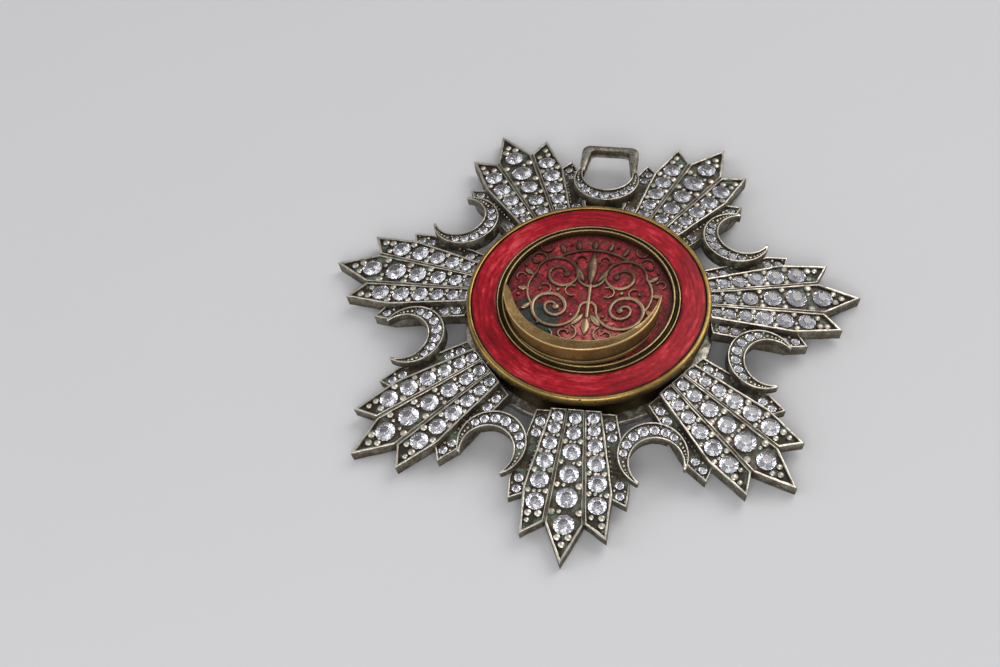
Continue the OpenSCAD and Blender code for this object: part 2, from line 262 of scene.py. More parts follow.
def circle(radius: float, sides: int, start: float = 0) -> list[Flat]:
    """Corners of a circle, anticlockwise.

    Args:
        radius: its radius.
        sides: number of corners.
        start: turn of the first corner in degrees.
    Returns:
        The corners.
    """
    turns = [math.radians(start + 360 * i / sides) for i in range(sides)]
    return [(radius * math.cos(t), radius * math.sin(t)) for t in turns]


def raised(points: Sequence[Flat], z: float) -> list[Vector]:
    """Flat points at a height."""
    return [Vector((x, y, z)) for x, y in points]


def inset(points: Sequence[Flat], widths: Sequence[float]) -> list[Flat]:
    """Moves the sides of an anticlockwise outline inward.

    Args:
        points: corners of the outline.
        widths: how far each side moves; side i runs from corner i to the next.
    Returns:
        The new corners.
    """
    spots = [Vector(p) for p in points]
    count = len(spots)
    moved = []
    for i, spot in enumerate(spots):
        before = (spot - spots[i - 1]).normalized()
        after = (spots[(i + 1) % count] - spot).normalized()
        p = spot + Vector((-before.y, before.x)) * widths[i - 1]
        q = spot + Vector((-after.y, after.x)) * widths[i]
        cross = before.x * after.y - before.y * after.x
        gap = q - p
        moved.append(tuple(p + before * ((gap.x * after.y - gap.y * after.x) / cross)))
    return moved


def mirrored(points: Sequence[Flat]) -> list[Flat]:
    """An outline mirrored across the Y axis, still anticlockwise."""
    return [(-x, y) for x, y in reversed(points)]


def on_line(line: Line, y: float) -> float:
    """X of a line at a given Y."""
    (x0, y0), (x1, y1) = line
    return x0 + (y - y0) * (x1 - x0) / (y1 - y0)


def crossing(line: Line, ring: Ring, side: int) -> Flat:
    """Where a line cuts a circle.

    Args:
        line: two points.
        ring: middle and radius of the circle.
        side: 1 for the cut further right, -1 for the one further left.
    Returns:
        The place.
    """
    p, along = Vector(line[0]), (Vector(line[1]) - Vector(line[0])).normalized()
    off = p - Vector(ring[0])
    half = off.dot(along)
    root = math.sqrt(half * half - off.dot(off) + ring[1] * ring[1])
    spots = [tuple(p + along * t) for t in (-half - root, -half + root)]
    return max(spots, key=lambda spot: side * spot[0])


def arc_between(ring: Ring, start: Flat, end: Flat, steps: int) -> list[Flat]:
    """Points on a circle, anticlockwise from one place to another.

    Args:
        ring: middle and radius of the circle.
        start: the first place.
        end: the last place.
        steps: sides from the first to the last.
    Returns:
        The points, both places among them.
    """
    (x, y), r = ring
    a = math.atan2(start[1] - y, start[0] - x)
    b = math.atan2(end[1] - y, end[0] - x)
    span = (b - a) % (2 * math.pi)
    turns = [a + span * i / steps for i in range(steps + 1)]
    return [(x + r * math.cos(t), y + r * math.sin(t)) for t in turns]


def bulged(start: Flat, end: Flat, bulge: float) -> list[Flat]:
    """Three points between two places, pushed to the right of the way between them.

    Args:
        start: the first place.
        end: the last place.
        bulge: how far the middle point is pushed.
    Returns:
        The three points.
    """
    p, q = Vector(start), Vector(end)
    out = Vector((q.y - p.y, p.x - q.x)).normalized() * bulge
    return [tuple(p.lerp(q, t) + out * 4 * t * (1 - t)) for t in (0.25, 0.5, 0.75)]


def toward(start: Flat, end: Flat, by: float) -> Flat:
    """A place moved toward another one, by a third of the way at most."""
    way = Vector(end) - Vector(start)
    return tuple(Vector(start) + way * min(by / way.length, 1 / 3))


def lune(outer: Ring, inner: Ring, cuts: tuple[Line, Line], bulges: Flat,
         steps: int) -> list[Flat]:
    """Outline of a crescent whose horns are cut off and rounded.

    Args:
        outer: middle and radius of its outer edge.
        inner: middle and radius of its inner edge.
        cuts: the lines that cut the left and the right horn.
        bulges: how far the rounded ends stand out, left and right.
        steps: sides on each of the two edges.
    Returns:
        The outline, anticlockwise from the left horn.
    """
    left, left_in = (crossing(cuts[0], ring, -1) for ring in (outer, inner))
    right, right_in = (crossing(cuts[1], ring, 1) for ring in (outer, inner))
    return [*arc_between(outer, left, right, steps), *bulged(right, right_in, bulges[1]),
            *arc_between(inner, left_in, right_in, steps)[::-1],
            *bulged(left_in, left, bulges[0])]


def softened(profile: Sequence[Triple], radius: float, steps: int = 3,
             most: float = 0.45) -> list[Triple]:
    """Rounds the corners of an open profile.

    Args:
        profile: rows of radius, height and grime.
        radius: how far from a corner the round starts.
        steps: points on each round.
        most: the largest share of a side that one round takes.
    Returns:
        The profile with rounded corners.
    """
    out = [profile[0]]
    for a, b, c in zip(profile, profile[1:], profile[2:]):
        p, q, r = Vector(a), Vector(b), Vector(c)
        start = q.lerp(p, min(radius / (p.xy - q.xy).length, most))
        end = q.lerp(r, min(radius / (r.xy - q.xy).length, most))
        for i in range(steps + 1):
            t = i / steps
            out.append(tuple(start.lerp(q, t).lerp(q.lerp(end, t), t)))
    out.append(profile[-1])
    return out


def revolved(profile: Sequence[Triple], sides: int, closed: bool = True) -> Draft:
    """Turns a profile round the Z axis.

    Args:
        profile: rows of radius, height and grime, up on the outside and down on the inside.
        sides: steps round the axis.
        closed: whether the last row joins the first.
    Returns:
        The new draft.
    """
    draft = Draft()
    rows = [draft.loop(raised(circle(r, sides), z), grime_and_shade) for r, z, grime_and_shade in profile]
    for low, high in zip(rows, rows[1:] + rows[:1] if closed else rows[1:]):
        draft.band(low, high)
    return draft


def round_sizes(node: str) -> Triple:
    """Outer radius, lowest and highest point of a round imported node, in millimetres."""
    low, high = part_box(node)
    return (high.x - low.x) / 2 / MM, low.z / MM, high.z / MM


@dataclass(frozen=True)
class Cut:
    """Proportions of a round cut stone, as shares of its diameter.

    The stone has a table, a crown with three rows of facets, a thin girdle and a pavilion.
    Heights count from the girdle's middle.
    """

    table_r: float = 0.24
    star_r: float = 0.385
    lower_r: float = 0.13
    crown: float = 0.17
    edge: float = 0.012
    pavilion: float = 0.4
    facets: int = 8

    def add(self, draft: Draft, place: Matrix, d: float) -> None:
        """Adds a stone.

        Args:
            draft: the draft that takes it.
            place: place of its girdle's middle, with +Z out of the table.
            d: its diameter.
        """
        table, star, low, half = self.table_r * d, self.star_r * d, self.lower_r * d, d / 2
        crown, edge, pavilion = self.crown * d, self.edge * d, self.pavilion * d
        count, turn = self.facets, 180 / self.facets
        lean = math.cos(math.radians(turn))
        star_z = edge + (crown - edge) * (half - star * lean) / (half - table)
        low_z = -edge - (pavilion - edge) * (1 - low * lean / half)
        rings = ((table, count, 0, crown), (star, count, turn, star_z), (half, 2 * count, 0, edge),
                 (half, 2 * count, 0, -edge), (low, count, turn, low_z))
        top, stars, upper, lower, lows = (
            draft.loop([place @ p for p in raised(circle(r, sides, start), z)], 0)
            for r, sides, start, z in rings)
        culet = draft.loop([place @ Vector((0, 0, -pavilion))], 0)[0]
        draft.cap(top)
        draft.band(lower, upper)
        for i in range(count):
            j, g, h, k = (i + 1) % count, 2 * i, 2 * i + 1, (2 * i + 2) % (2 * count)
            draft.faces += [
                (top[i], stars[i], top[j]), (top[i], stars[i - 1], upper[g], stars[i]),
                (stars[i], upper[g], upper[h]), (stars[i], upper[h], upper[k]),
                (lows[i], lower[h], lower[g]), (lows[i], lower[k], lower[h]),
                (culet, lows[i], lower[g], lows[i - 1])]


CUT = Cut()


# Finishes


@dataclass
class Sheet:
    """The node tree of one material, with short ways to add nodes."""

    material: Material

    @classmethod
    def new(cls, name: str) -> "Sheet":
        """Starts a material.

        Args:
            name: its name.
        Returns:
            A sheet whose node tree is empty.
        """
        material = bpy.data.materials.new(name)
        material.use_nodes = True
        material.node_tree.nodes.clear()
        return cls(material)

    def node(self, kind: str, values: Optional[dict[str | int, object]] = None,
             **settings: object) -> bpy.types.Node:
        """Adds a node.

        Args:
            kind: Blender's type name of the node.
            values: inputs by name or number; a socket is linked, anything else is set.
            settings: the node's own properties.
        Returns:
            The new node.
        """
        made = self.material.node_tree.nodes.new(kind)
        for key, value in settings.items():
            setattr(made, key, value)
        for key, value in (values or {}).items():
            if isinstance(value, Socket):
                self.material.node_tree.links.new(value, made.inputs[key])
            else:
                made.inputs[key].default_value = value
        return made

    def place(self) -> Socket:
        """Places on the badge in metres, in the badge's own frame."""
        return self.node("ShaderNodeTexCoord").outputs["Object"]

    def plan(self) -> Socket:
        """Places on the badge in millimetres, all at the height of its frame's origin."""
        return self.vector("MULTIPLY", self.place(), (1 / MM, 1 / MM, 0))

    def grime_and_shade(self) -> Socket:
        """The share of grime and painted shade that the mesh has at each corner."""
        return self.node("ShaderNodeAttribute", attribute_name="grime_and_shade").outputs["Fac"]

    def upward(self) -> Socket:
        """How far a surface looks up: 1 if straight up, 0 if upright."""
        normal = self.node("ShaderNodeTexCoord").outputs["Normal"]
        return self.node("ShaderNodeSeparateXYZ", {0: normal}).outputs["Z"]

    def noise(self, scale: float, detail: float = 3, rough: float = 0.55,
              at: Optional[Socket] = None) -> Socket:
        """A noise pattern from 0 to 1.

        Args:
            scale: cells in each millimetre, or in each unit of the given place.
            detail: number of finer layers.
            rough: strength of the finer layers.
            at: where it is read; the place on the badge if not given.
        Returns:
            The pattern.
        """
        values = {"Vector": at or self.place(), "Scale": scale if at else scale / MM,
                  "Detail": detail, "Roughness": rough}
        return self.node("ShaderNodeTexNoise", values).outputs["Fac"]

    def vector(self, kind: str, a: Socket, b: Socket | Triple = (0, 0, 0)) -> Socket:
        """A sum, product or other simple function of places.

        Args:
            kind: Blender's name of the function.
            a: the first place.
            b: the second place, where the function has one.
        Returns:
            The new place, or the number if the function gives one.
        """
        made = self.node("ShaderNodeVectorMath", {0: a, 1: b}, operation=kind)
        return made.outputs["Value" if kind in ("LENGTH", "DISTANCE") else "Vector"]

    def math(self, kind: str, a: Socket | float, b: Socket | float,
             clamp: bool = False) -> Socket:
        """A sum, product or other simple function of two numbers."""
        return self.node("ShaderNodeMath", {0: a, 1: b}, operation=kind, use_clamp=clamp).outputs[0]

    def weighed(self, base: Socket | float, *rows: tuple[Socket, float]) -> Socket:
        """A number plus patterns, each times its weight.

        Args:
            base: the number.
            rows: patterns with their weights.
        Returns:
            The sum.
        """
        for pattern, weight in rows:
            base = self.node("ShaderNodeMath", {0: pattern, 1: weight, 2: base},
                             operation="MULTIPLY_ADD").outputs[0]
        return base

    def swayed(self, base: Socket, *rows: tuple[Socket, float]) -> Socket:
        """A number that patterns push up and down from their middle value, one half.

        Args:
            base: the number.
            rows: patterns, each with how far its whole range moves the number.
        Returns:
            The moved number.
        """
        return self.weighed(base, *((self.math("SUBTRACT", pattern, 0.5), reach)
                                    for pattern, reach in rows))

    def fade(self, value: Socket, start: float, end: float, low: float = 0,
             high: float = 1) -> Socket:
        """Goes smoothly from one number to another while a value runs between two others.

        Args:
            value: the value.
            start: where in the value it begins.
            end: where in the value it ends.
            low: the number before the start.
            high: the number after the end.
        Returns:
            The number.
        """
        return self.node("ShaderNodeMapRange",
                         {"Value": value, "From Min": start, "From Max": end, "To Min": low,
                          "To Max": high}, interpolation_type="SMOOTHSTEP").outputs["Result"]

    def ramp(self, value: Socket, stops: Stops) -> Socket:
        """Colours along a value.

        Args:
            value: the value.
            stops: rows of position and colour.
        Returns:
            The colour.
        """
        made = self.node("ShaderNodeValToRGB", {"Fac": value})
        band = made.color_ramp.elements
        while len(band) < len(stops):
            band.new(0.5)
        for element, (spot, colour) in zip(band, stops):
            element.position = spot
            element.color = (*colour, 1)
        return made.outputs["Color"]

    def mix(self, share: Socket, a: Socket | Triple, b: Socket | Triple) -> Socket:
        """Goes from one colour to another.

        Args:
            share: how much of the second colour there is.
            a: the first colour.
            b: the second colour.
        Returns:
            The colour between them.
        """
        first, second = (value if isinstance(value, Socket) else (*value, 1) for value in (a, b))
        return self.node("ShaderNodeMix", {"Factor": share, 6: first, 7: second},
                         data_type="RGBA").outputs[2]

    def bump(self, *rows: tuple[Socket, float]) -> Socket:
        """Relief in the shading.

        Args:
            rows: patterns from 0 to 1, each with its height in millimetres; each lies on the
                one before it.
        Returns:
            The shading normal.
        """
        normal = None
        for height, depth in rows:
            values = {"Height": height, "Distance": depth * MM, "Strength": 1.0}
            if normal is not None:
                values["Normal"] = normal
            normal = self.node("ShaderNodeBump", values).outputs["Normal"]
        return normal

    def surface(self, **values: object) -> Material:
        """Ends the tree with one surface shader.

        Args:
            values: the shader's inputs, with underscores for blanks.
        Returns:
            The material.
        """
        named = {key.replace("_", " "): value for key, value in values.items()}
        shader = self.node("ShaderNodeBsdfPrincipled", named)
        self.node("ShaderNodeOutputMaterial", {"Surface": shader.outputs[0]})
        return self.material


@dataclass(frozen=True)
class Silver:
    """Old silver: bright where it is rubbed, brown-black where it is not, with green traces."""

    name: str
    wear: float = 0.0
    green: float = 1.0
    tones: Stops = ((0.0, (0.64, 0.59, 0.50)), (0.18, (0.49, 0.45, 0.375)),
                    (0.38, (0.265, 0.235, 0.182)), (0.6, (0.106, 0.085, 0.060)),
                    (0.85, (0.030, 0.024, 0.017)))
    verdigris: Stops = ((0.32, (0.042, 0.060, 0.044)), (0.68, (0.15, 0.195, 0.145)))

    def make(self) -> Material:
        """Builds the material.

        Returns:
            The material; its green traces keep off what is polished and, mostly, off walls.
        """
        sheet = Sheet.new(self.name)
        cloud, middle, fine = sheet.noise(0.55, 4), sheet.noise(1.6, 4), sheet.noise(4.0, 3)
        dirt = sheet.swayed(sheet.grime_and_shade(), (cloud, 0.7), (middle, 0.6), (fine, 0.5))
        dark = sheet.math("ADD", dirt, self.wear, clamp=True)
        patch = sheet.fade(sheet.noise(0.6, 5, 0.7), 0.5, 0.6)
        patch = sheet.math("MULTIPLY", patch, sheet.fade(dark, 0.03, 0.35, 0.1, 1))
        patch = sheet.math("MULTIPLY", patch, sheet.fade(sheet.upward(), 0.1, 0.7, 0.4, 1))
        patch = sheet.math("MULTIPLY", patch, self.green, clamp=True)
        colour = sheet.mix(patch, sheet.ramp(dark, self.tones), sheet.ramp(fine, self.verdigris))
        metal = sheet.math("SUBTRACT", sheet.fade(dark, 0.5, 0.95, 1, 0.35), patch, clamp=True)
        rough = sheet.weighed(sheet.fade(dark, 0.05, 0.8, 0.24, 0.5), (fine, 0.16), (patch, 0.35))
        return sheet.surface(Base_Color=colour, Metallic=metal, Roughness=rough,
                             Specular_IOR_Level=0.3,
                             Normal=sheet.bump((middle, 0.07), (fine, 0.035)))


@dataclass(frozen=True)
class Gold:
    """Old gold with a darker film, scratches and small dark pits."""

    name: str
    bright: Triple
    film: Triple
    cover: float
    rough: float
    metal: float
    pits: float = 0.0
    pit_colour: Triple = (0.05, 0.028, 0.008)
    black: float = 0.12

    def make(self) -> Material:
        """Builds the material.

        Returns:
            The material, with pits only where the finish has them.
        """
        sheet = Sheet.new(self.name)
        fine = sheet.noise(3.0, 4)
        dark = sheet.weighed(sheet.grime_and_shade(), (sheet.noise(0.3, 5, 0.6), self.cover * 2))
        dark = sheet.math("SUBTRACT", sheet.swayed(dark, (fine, 0.35)), self.cover, clamp=True)
        black = tuple(self.black * part for part in self.film)
        colour = sheet.ramp(dark, ((0.0, self.bright), (0.35, self.film), (0.9, black)))
        height = fine
        if self.pits:
            cells = sheet.node("ShaderNodeTexVoronoi",
                               {"Vector": sheet.place(), "Scale": 1.15 / MM, "Randomness": 1.0})
            spot = sheet.weighed(cells.outputs["Distance"], (sheet.noise(0.5), 0.9))
            pit = sheet.math("MULTIPLY", sheet.fade(spot, 0.5, 0.62, 1, 0), self.pits)
            colour = sheet.mix(pit, colour, self.pit_colour)
            height = sheet.math("SUBTRACT", fine, pit)
        return sheet.surface(Base_Color=colour, Metallic=self.metal,
                             Roughness=sheet.weighed(self.rough, (dark, 0.35)),
                             Specular_IOR_Level=0.4, Normal=sheet.bump((height, 0.03)))


@dataclass(frozen=True)
class Polar:
    """Distance from the medallion's axis and place round it, for patterns that run in rings."""

    middle_y: float

    def off(self, sheet: Sheet) -> Socket:
        """Places in plan in millimetres, from the medallion's axis."""
        return sheet.vector("SUBTRACT", sheet.plan(), (0, self.middle_y, 0))

    def radius(self, sheet: Sheet) -> Socket:
        """Distance from the axis in millimetres."""
        return sheet.vector("LENGTH", self.off(sheet))

    def swept(self, sheet: Sheet, across: float, round_it: float) -> Socket:
        """Place for a noise whose cells are drawn out along rings.

        Args:
            sheet: the material.
            across: cells in each millimetre of radius.
            round_it: cells in each radian round the axis.
        Returns:
            The place.
        """
        turn = sheet.vector("NORMALIZE", self.off(sheet))
        parts = sheet.node("ShaderNodeSeparateXYZ", {0: turn})
        return sheet.node("ShaderNodeCombineXYZ", {
            0: sheet.math("MULTIPLY", parts.outputs[0], round_it),
            1: sheet.math("MULTIPLY", parts.outputs[1], round_it),
            2: sheet.math("MULTIPLY", self.radius(sheet), across)}).outputs[0]


@dataclass(frozen=True)
class RingEnamel:
    """Clear red enamel over metal brushed in rings, darker along both edges: a thin dark edge line
    with painted shadow of the rim and the bezel.
    """

    name: str
    polar: Polar
    inner: float = 13.2
    outer: float = 16.9
    edge_widths: Flat = (0.5, 0.45)
    tones: Stops = ((0.36, (0.060, 0.0006, 0.003)), (0.49, (0.18, 0.001, 0.006)),
                    (0.58, (0.31, 0.004, 0.012)), (0.70, (0.50, 0.055, 0.065)))
    edge_shade_colour: Triple = (0.030, 0.004, 0.004)
    stain_colour: Triple = (0.07, 0.008, 0.02)

    def make(self) -> Material:
        """Builds the material.

        Returns:
            The material.
        """
        sheet = Sheet.new(self.name)
        streak = sheet.noise(1.0, 5, 0.68, self.polar.swept(sheet, 2.0, 4.2))
        broad = sheet.noise(1.0, 3, 0.5, self.polar.swept(sheet, 0.3, 2.6))
        tone = sheet.weighed(0.0, (broad, 0.3), (streak, 0.6), (sheet.noise(1.3, 4, 0.65), 0.2))
        # Painted shadow of the rim and the bezel over a thin dark edge line: the colour darkens
        # toward both edges.
        wavy = sheet.swayed(self.polar.radius(sheet), (sheet.noise(0.5), 0.7))
        inner_edge_shade = sheet.fade(wavy, self.inner, self.inner + self.edge_widths[0], 1, 0)
        outer_edge_shade = sheet.fade(wavy, self.outer - self.edge_widths[1], self.outer, 0, 1)
        colour = sheet.mix(sheet.math("MAXIMUM", inner_edge_shade, outer_edge_shade),
                           sheet.ramp(tone, self.tones), self.edge_shade_colour)
        stain = sheet.fade(sheet.noise(0.22, 4, 0.7), 0.63, 0.75, 0, 0.75)
        colour = sheet.mix(stain, colour, self.stain_colour)
        return sheet.surface(Base_Color=colour, Metallic=0.0, Roughness=0.5,
                             Specular_IOR_Level=0.16, Coat_Weight=0.06, Coat_Roughness=0.12,
                             Normal=sheet.bump((streak, 0.035), (sheet.noise(0.4, 2), 0.08)))


@dataclass(frozen=True)
class DiscEnamel:
    """Worn red enamel: mottled, with a green-black patch, a pale rubbed patch and painted shade
    along its edge next to the bezel.
    """

    name: str
    polar: Polar
    patch: Ring = ((-7.2, -4.2), 4.4)
    rubbed: Ring = ((0.6, -6.6), 4.6)
    # Painted shade next to the bezel: the radii where it starts and where it is strongest.
    edge: Flat = (10.6, 12.0)
    strokes: tuple[Flat, Flat] = ((52, 2.4), (158, 2.0))
    stretch: float = 0.18
    tones: Stops = ((0.42, (0.006, 0.002, 0.002)), (0.52, (0.060, 0.003, 0.005)),
                    (0.6, (0.20, 0.006, 0.012)), (0.72, (0.40, 0.045, 0.045)))
    moss: Stops = ((0.3, (0.008, 0.012, 0.012)), (0.7, (0.045, 0.058, 0.05)))
    rust: Triple = (0.060, 0.022, 0.016)
    pale: Triple = (0.50, 0.13, 0.12)
    edge_shade_colour: Triple = (0.022, 0.006, 0.006)

    def near(self, sheet: Sheet, area: Ring) -> Socket:
        """Picks out a round area of the disc with a ragged edge.

        Args:
            sheet: the material.
            area: its middle, from the disc's middle, and its radius.
        Returns:
            One in the area and nought outside it.
        """
        (x, y), reach = area
        away = sheet.vector("DISTANCE", sheet.plan(), (x, y + self.polar.middle_y, 0))
        ragged = sheet.swayed(away, (sheet.noise(0.45, 5, 0.7), reach * 1.7))
        return sheet.fade(ragged, reach * 0.75, reach, 1, 0)

    def brushed(self, sheet: Sheet, facing: float, fine: float) -> Socket:
        """Short strokes in one direction, as left by a brush or by wear.

        Args:
            sheet: the material.
            facing: direction of the strokes in degrees.
            fine: strokes in each millimetre across them.
        Returns:
            The pattern.
        """
        turned = sheet.node("ShaderNodeMapping", {
            "Vector": sheet.place(), "Rotation": (0, 0, math.radians(-facing))})
        cells = (self.stretch * fine / MM, fine / MM, 0)
        drawn = sheet.vector("MULTIPLY", turned.outputs[0], cells)
        return sheet.noise(1.0, 3, 0.55, drawn)

    def make(self) -> Material:
        """Builds the material.

        Returns:
            The material.
        """
        sheet = Sheet.new(self.name)
        cloud, fleck = sheet.noise(0.5, 6, 0.72), sheet.noise(1.7, 4, 0.6)
        strokes = sheet.math("MAXIMUM", *(self.brushed(sheet, *row) for row in self.strokes))
        tone = sheet.weighed(-0.02, (cloud, 0.3), (fleck, 0.4), (strokes, 0.45))
        stain = sheet.fade(sheet.noise(0.38, 5, 0.7), 0.54, 0.66, 0, 0.75)
        colour = sheet.mix(stain, sheet.ramp(tone, self.tones), self.rust)
        worn = sheet.math("MULTIPLY", self.near(sheet, self.rubbed), sheet.fade(fleck, 0.36, 0.6))
        colour = sheet.mix(worn, colour, self.pale)
        colour = sheet.mix(self.near(sheet, self.patch), colour, sheet.ramp(fleck, self.moss))
        # Painted shade next to the bezel: the colour darkens toward the disc's edge.
        edge = sheet.fade(self.polar.radius(sheet), *self.edge, 0, 0.75)
        colour = sheet.mix(edge, colour, self.edge_shade_colour)
        return sheet.surface(Base_Color=colour, Metallic=0.0,
                             Roughness=sheet.fade(cloud, 0.35, 0.65, 0.55, 0.36),
                             Specular_IOR_Level=0.22, Coat_Weight=0.04, Coat_Roughness=0.3,
                             Normal=sheet.bump((cloud, 0.16), (strokes, 0.07)))


@dataclass(frozen=True)
class Stone:
    """Clear colourless stone, a little lavender."""

    name: str
    tint: Triple = (0.585, 0.58, 0.62)

    def make(self) -> Material:
        """Builds the material.

        Returns:
            The material.
        """
        return Sheet.new(self.name).surface(
            Base_Color=(*self.tint, 1), Metallic=0.0, Roughness=0.06, IOR=1.85,
            Transmission_Weight=0.9, Specular_IOR_Level=0.5)


@dataclass(frozen=True)
class Paper:
    """The pale matt surface that the badge lies on."""

    name: str
    colour: Triple = (0.47, 0.47, 0.475)
    lighter: float = 1.03

    def make(self) -> Material:
        """Builds the material.

        Returns:
            The material.
        """
        sheet = Sheet.new(self.name)
        light = tuple(part * self.lighter for part in self.colour)
        colour = sheet.mix(sheet.noise(0.02, 2), self.colour, light)
        return sheet.surface(Base_Color=colour, Roughness=0.75)


class Finishes:
    """Every material of the badge, each built once."""

    def __init__(self, middle_y: float) -> None:
        """Builds the materials.

        Args:
            middle_y: Y of the medallion's axis in millimetres.
        """
        polar = Polar(middle_y)
        self.silver = Silver("old_silver").make()
        self.back = Silver("dull_silver", wear=0.12, green=0.8).make()
        self.rim = Gold("bright_gold", (0.37, 0.25, 0.075), (0.115, 0.078, 0.026), cover=0.42,
                        rough=0.34, metal=1.0, pits=0.9).make()
        self.bezel = Gold("olive_gold", (0.40, 0.31, 0.14), (0.16, 0.12, 0.05), cover=0.34,
                          rough=0.26, metal=0.9).make()
        self.lune = Gold("bronze_gold", (0.54, 0.375, 0.15), (0.185, 0.115, 0.042), cover=0.3,
                         rough=0.34, metal=0.78).make()
        self.relief = Gold("rubbed_gold", (0.34, 0.235, 0.14), (0.085, 0.045, 0.028), cover=0.46,
                           rough=0.34, metal=0.75).make()
        self.ring = RingEnamel("red_enamel", polar).make()
        self.disc = DiscEnamel("worn_enamel", polar).make()
        self.stone = Stone("clear_stone").make()


# The star


@dataclass(frozen=True)
class Star:
    """Places and sizes of the whole star in millimetres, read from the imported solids."""

    tip_r: float
    middle_y: float
    thickness: float = 2.0
    dome: float = 10.3

    @classmethod
    def read(cls) -> "Star":
        """Reads the sizes from the frame.

        Returns:
            The star.
        """
        low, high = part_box("medallion_case")
        middle_y = (low.y + high.y) / 2 / MM
        return cls(tip_r=middle_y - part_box("ray_1")[0].y / MM, middle_y=middle_y)

    @property
    def tip_rise(self) -> float:
        """Height of the long tips over the surface that the star lies on."""
        return self.thickness * math.cos(math.radians(self.dome))

    def slope(self, turn: float) -> Matrix:
        """Place of a sloping face, whose +Y runs out from the medallion.

        Args:
            turn: degrees anticlockwise from the bottom ray.
        Returns:
            The matrix, in millimetres.
        """
        return (Matrix.Translation((0, self.middle_y, self.tip_rise))
                @ Matrix.Rotation(math.radians(180 + turn), 4, "Z")
                @ Matrix.Translation((0, self.tip_r, 0))
                @ Matrix.Rotation(math.radians(-self.dome), 4, "X"))

    def axis(self) -> Matrix:
        """Place of the medallion's axis at the height of the surface below."""
        return Matrix.Translation((0, self.middle_y, 0))

    def on_face(self, y: float) -> float:
        """Y on a sloping face from the distance to the medallion's axis."""
        return (y - self.tip_r) / math.cos(math.radians(self.dome))

    def face(self, points: Sequence[Flat], z: float) -> list[Vector]:
        """Plan points on a sloping face."""
        return [Vector((x, self.on_face(y), z)) for x, y in points]


@dataclass(frozen=True)
class Setting:
    """One stone on a sloping face: plan place, height of the floor round it, diameter.

    The girdle stands a share of the diameter, the lift, and a small gap over the floor.
    The seat is wider than the stone by its play and narrows to its foot.
    """

    x: float
    y: float
    floor: float
    d: float
    lift: float = 0.1
    gap: float = 0.05
    play: float = 0.1
    foot: float = 0.35
    sides: int = 16
    grimes_and_shades: Flat = (0.55, 0.5)
    lean: float = 2.5
    sizes: Flat = (0.96, 1.035)

    @property
    def girdle(self) -> float:
        """Height of the stone's girdle."""
        return self.floor + self.lift * self.d + self.gap

    @property
    def seat_r(self) -> float:
        """Radius of the seat at the floor."""
        depth = CUT.pavilion * self.d
        return self.d / 2 * (depth - self.girdle + self.floor) / depth + self.play

    def seat(self, draft: Draft, star: Star) -> list[int]:
        """Sinks the dark seat under the stone.

        Args:
            draft: the metal that takes it.
            star: the star's sizes.
        Returns:
            The seat's mouth, a loop on the floor.
        """
        y = star.on_face(self.y)
        bottom = self.floor - (CUT.pavilion * self.d - self.lift * self.d)
        rings = [[Vector((self.x + a, y + b, z)) for a, b in circle(r, self.sides)]
                 for r, z in ((self.seat_r, self.floor), (self.seat_r * self.foot, bottom))]
        mouth, foot = draft.stack(rings, self.grimes_and_shades)
        draft.cap(foot)
        return mouth

    def stone(self, draft: Draft, star: Star, dice: Random) -> None:
        """Adds the stone, turned and leaning a little.

        Args:
            draft: the draft that takes it.
            star: the star's sizes.
            dice: where its turn and lean come from.
        """
        turn = Matrix.Translation((self.x, star.on_face(self.y), self.girdle))
        for low, high, axis in ((-self.lean, self.lean, "X"), (-self.lean, self.lean, "Y"),
                                (0, 360 / CUT.facets, "Z")):
            turn = turn @ Matrix.Rotation(math.radians(dice.uniform(low, high)), 4, axis)
        CUT.add(draft, turn, self.d * dice.uniform(*self.sizes))


@dataclass(frozen=True)
class RimStep:
    """One loop of a rim: share of its width in from the outline, height over it, grime."""

    share: float
    height: float
    grime_and_shade: float


RIM = (RimStep(0, -0.13, 0.42), RimStep(0.12, -0.035, 0.12), RimStep(0.3, 0, 0),
       RimStep(0.55, 0, 0.06), RimStep(0.82, -0.045, 0.28), RimStep(1, -0.18, 0.62))
UNDER_GRIME = 0.62
HIDDEN_GRIME = 0.6
FLOOR_GRIME = 0.72
TIP_GRIME = 1.0
GRAIN_SIZES = (0.88, 1.1)  # smallest and largest grain, as shares of the named radius


def rimmed(draft: Draft, star: Star, loops: Sequence[Sequence[Vector]],
           settings: Sequence[Setting]) -> list[int]:
    """Joins the loops of a tray, from its underside over its rim to its floor, and closes it.

    Args:
        draft: the draft that takes it.
        star: the star's sizes.
        loops: the underside's outline, one loop for each row of RIM, and the floor's outline.
        settings: the stones whose seats are sunk in the floor.
    Returns:
        The corners of the floor's outline.
    """
    rows = draft.stack(loops, [UNDER_GRIME, *(step.grime_and_shade for step in RIM), FLOOR_GRIME])
    draft.plate(rows[0], up=False)
    draft.plate(rows[-1], [setting.seat(draft, star) for setting in settings])
    return rows[-1]


